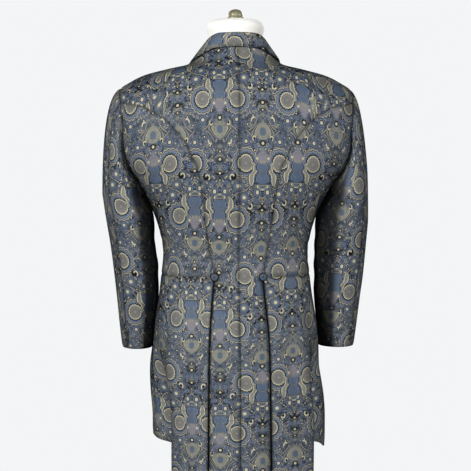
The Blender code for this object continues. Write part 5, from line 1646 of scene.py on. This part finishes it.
def addStand():
    s, foot, crown = stand, form["foot"], form["crown"]
    base = rounded([
        (s["base"] - 0.003, 0.0), (s["base"], 0.003), (s["base"], s["baseHeight"] - 0.004),
        (s["base"] - 0.006, s["baseHeight"]), (s["hub"] + 0.012, s["baseHeight"] + 0.006),
        (s["hub"], s["baseHeight"] + 0.014), (s["hub"], s["hubHeight"] - 0.003),
        (s["hub"] - 0.003, s["hubHeight"]),
    ], 0.003)
    pole = rounded([
        (s["pole"], s["hubHeight"] + s["fit"]), (s["pole"], foot - 0.020), (s["collar"], foot - 0.018),
        (s["collar"], foot - s["fit"]),
    ], 0.0015)
    knob = rounded([
        (0.0185, crown + s["fit"]), (0.0185, crown + 0.0022), (0.0150, crown + 0.0034),
        (0.0160, crown + 0.0070),
        (0.0147, crown + 0.0120), (0.0108, crown + 0.0165), (0.0050, crown + 0.0188),
    ], 0.0035)
    return {
        "form_base": ("base", turnedMesh("formBase", base, finishes["iron"], 96)),
        "form_pole": ("pole", turnedMesh("formPole", pole, finishes["steel"], 48)),
        "form_finial": ("finial", turnedMesh("formFinial", knob, finishes["finial"], 64)),
    }


standPieces = addStand()
standPieces["form_torso"] = ("form_cover", addForm())
for node, (slotName, piece) in standPieces.items():
    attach(piece, "root")
    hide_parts(node)
print("form and stand made")

# each cut piece of cloth: how it is held, what it rests on, its widest, its longest and its flat area
cuts = {
    "back_left": ("draped", ["form_torso"], 0.310, 1.021, 0.1063),
    "back_right": ("draped", ["form_torso"], 0.334, 1.021, 0.1181),
    "side_body_left": ("draped", ["form_torso"], 0.261, 0.453, 0.0567),
    "side_body_right": ("draped", ["form_torso"], 0.261, 0.453, 0.0567),
    "front_left": ("draped", ["form_torso"], 0.245, 0.516, 0.0971),
    "front_right": ("draped", ["form_torso"], 0.245, 0.516, 0.0971),
    "skirt_left": ("hung", ["form_torso"], 0.411, 0.496, 0.1356),
    "skirt_right": ("hung", ["form_torso"], 0.430, 0.496, 0.1430),
    "top_sleeve_left": ("hung", ["form_torso"], 0.241, 0.544, 0.0818),
    "top_sleeve_right": ("hung", ["form_torso"], 0.239, 0.540, 0.0825),
    "under_sleeve_left": ("hung", ["form_torso"], 0.278, 0.511, 0.0718),
    "under_sleeve_right": ("hung", ["form_torso"], 0.278, 0.508, 0.0738),
    "lapel_left": ("folded", ["front_left"], 0.089, 0.258, 0.0153),
    "lapel_right": ("folded", ["front_right"], 0.089, 0.236, 0.0147),
    "collar_stand": ("folded", ["form_torso"], 0.418, 0.028, 0.0058),
    "collar_leaf": ("folded", ["collar_stand"], 0.461, 0.056, 0.0162),
}


def camel(node):
    first, *rest = node.split("_")
    return first + "".join(word.capitalize() for word in rest)


for node, (held, rests, width, length, area) in cuts.items():
    piece = clothPieces[camel(node)]
    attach(piece, "root")
    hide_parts(node)
    print("cut", node, 2 * len(piece.data.polygons), "triangles")

# pale floor, soft light from the upper left, and the camera behind the coat
studio = {
    "floorRadius": 1.5, "background": 1.0, "fill": 0.05,
    # place, size, power, colour
    "lamps": (
        ((2.1, 2.2, 2.3), (1.0, 1.4), 94.0, (1.0, 0.99, 0.975)),
        ((-2.6, 1.3, 1.9), (0.9, 1.4), 36.0, (1.0, 0.96, 0.94)),
        ((-0.2, 3.2, 2.3), (1.0, 1.0), 48.0, (1.0, 1.0, 1.0)),
        ((-1.8, -2.7, 2.1), (1.3, 1.5), 75.0, (1.0, 1.0, 1.0)),
        ((2.0, -2.6, 1.8), (1.3, 1.5), 60.0, (1.0, 1.0, 1.0)),
    ),
    "aim": (0.0, 0.0, 1.119), "distance": 2.6, "azimuth": 176.0, "elevation": 3.0, "lens": 36.0 * 1268 / 471,
}


def addStudio():
    scene = bpy.context.scene
    bpy.ops.mesh.primitive_circle_add(vertices=96, radius=studio["floorRadius"], fill_type="NGON")
    floor = bpy.context.object
    floor.name = "studioFloor"
    paper = Wiring("floorPaper")
    place = paper.nodes.new("ShaderNodeTexCoord").outputs["Object"]
    grain = paper.noise(place, 40.0, 4.0)
    tone, _ = paper.ramp(grain, ((0.3, (0.80, 0.80, 0.80, 1.0)), (0.7, (0.84, 0.84, 0.84, 1.0))))
    paper.put(paper.shader.inputs["Base Color"], tone)
    paper.shader.inputs["Roughness"].default_value = 0.85
    floor.data.materials.append(paper.material)
    world = bpy.data.worlds.new("studio")
    world.use_nodes = True
    nodes, links = world.node_tree.nodes, world.node_tree.links
    back, seen = nodes["Background"], nodes.new("ShaderNodeBackground")
    back.inputs["Color"].default_value = (0.95, 0.97, 1.0, 1.0)
    back.inputs["Strength"].default_value = studio["fill"]
    seen.inputs["Color"].default_value = thread(244, 245, 246)
    seen.inputs["Strength"].default_value = studio["background"]
    path, mix = nodes.new("ShaderNodeLightPath"), nodes.new("ShaderNodeMixShader")
    links.new(path.outputs["Is Camera Ray"], mix.inputs[0])
    links.new(back.outputs[0], mix.inputs[1])
    links.new(seen.outputs[0], mix.inputs[2])
    links.new(mix.outputs[0], nodes["World Output"].inputs["Surface"])
    scene.world = world
    scene.view_settings.view_transform = "Standard"
    aim = Vector(studio["aim"])
    for n, (spot, size, power, colour) in enumerate(studio["lamps"], 1):
        lamp = bpy.data.lights.new(f"softLamp{n}", "AREA")
        lamp.shape, lamp.size, lamp.size_y = "RECTANGLE", *size
        lamp.energy, lamp.color = power, colour
        holder = bpy.data.objects.new(lamp.name, lamp)
        scene.collection.objects.link(holder)
        holder.location = spot
        holder.rotation_euler = (aim - Vector(spot)).to_track_quat("-Z", "Y").to_euler()
    lens = bpy.data.cameras.new("behind")
    lens.lens, lens.sensor_width = studio["lens"], 36.0
    camera = bpy.data.objects.new("behind", lens)
    scene.collection.objects.link(camera)
    a, e = math.radians(studio["azimuth"]), math.radians(studio["elevation"])
    away = Vector((math.sin(a) * math.cos(e), -math.cos(a) * math.cos(e), math.sin(e)))
    camera.location = aim + away * studio["distance"]
    camera.rotation_euler = (-away).to_track_quat("-Z", "Y").to_euler()
    scene.camera = camera


addStudio()
print("studio made")
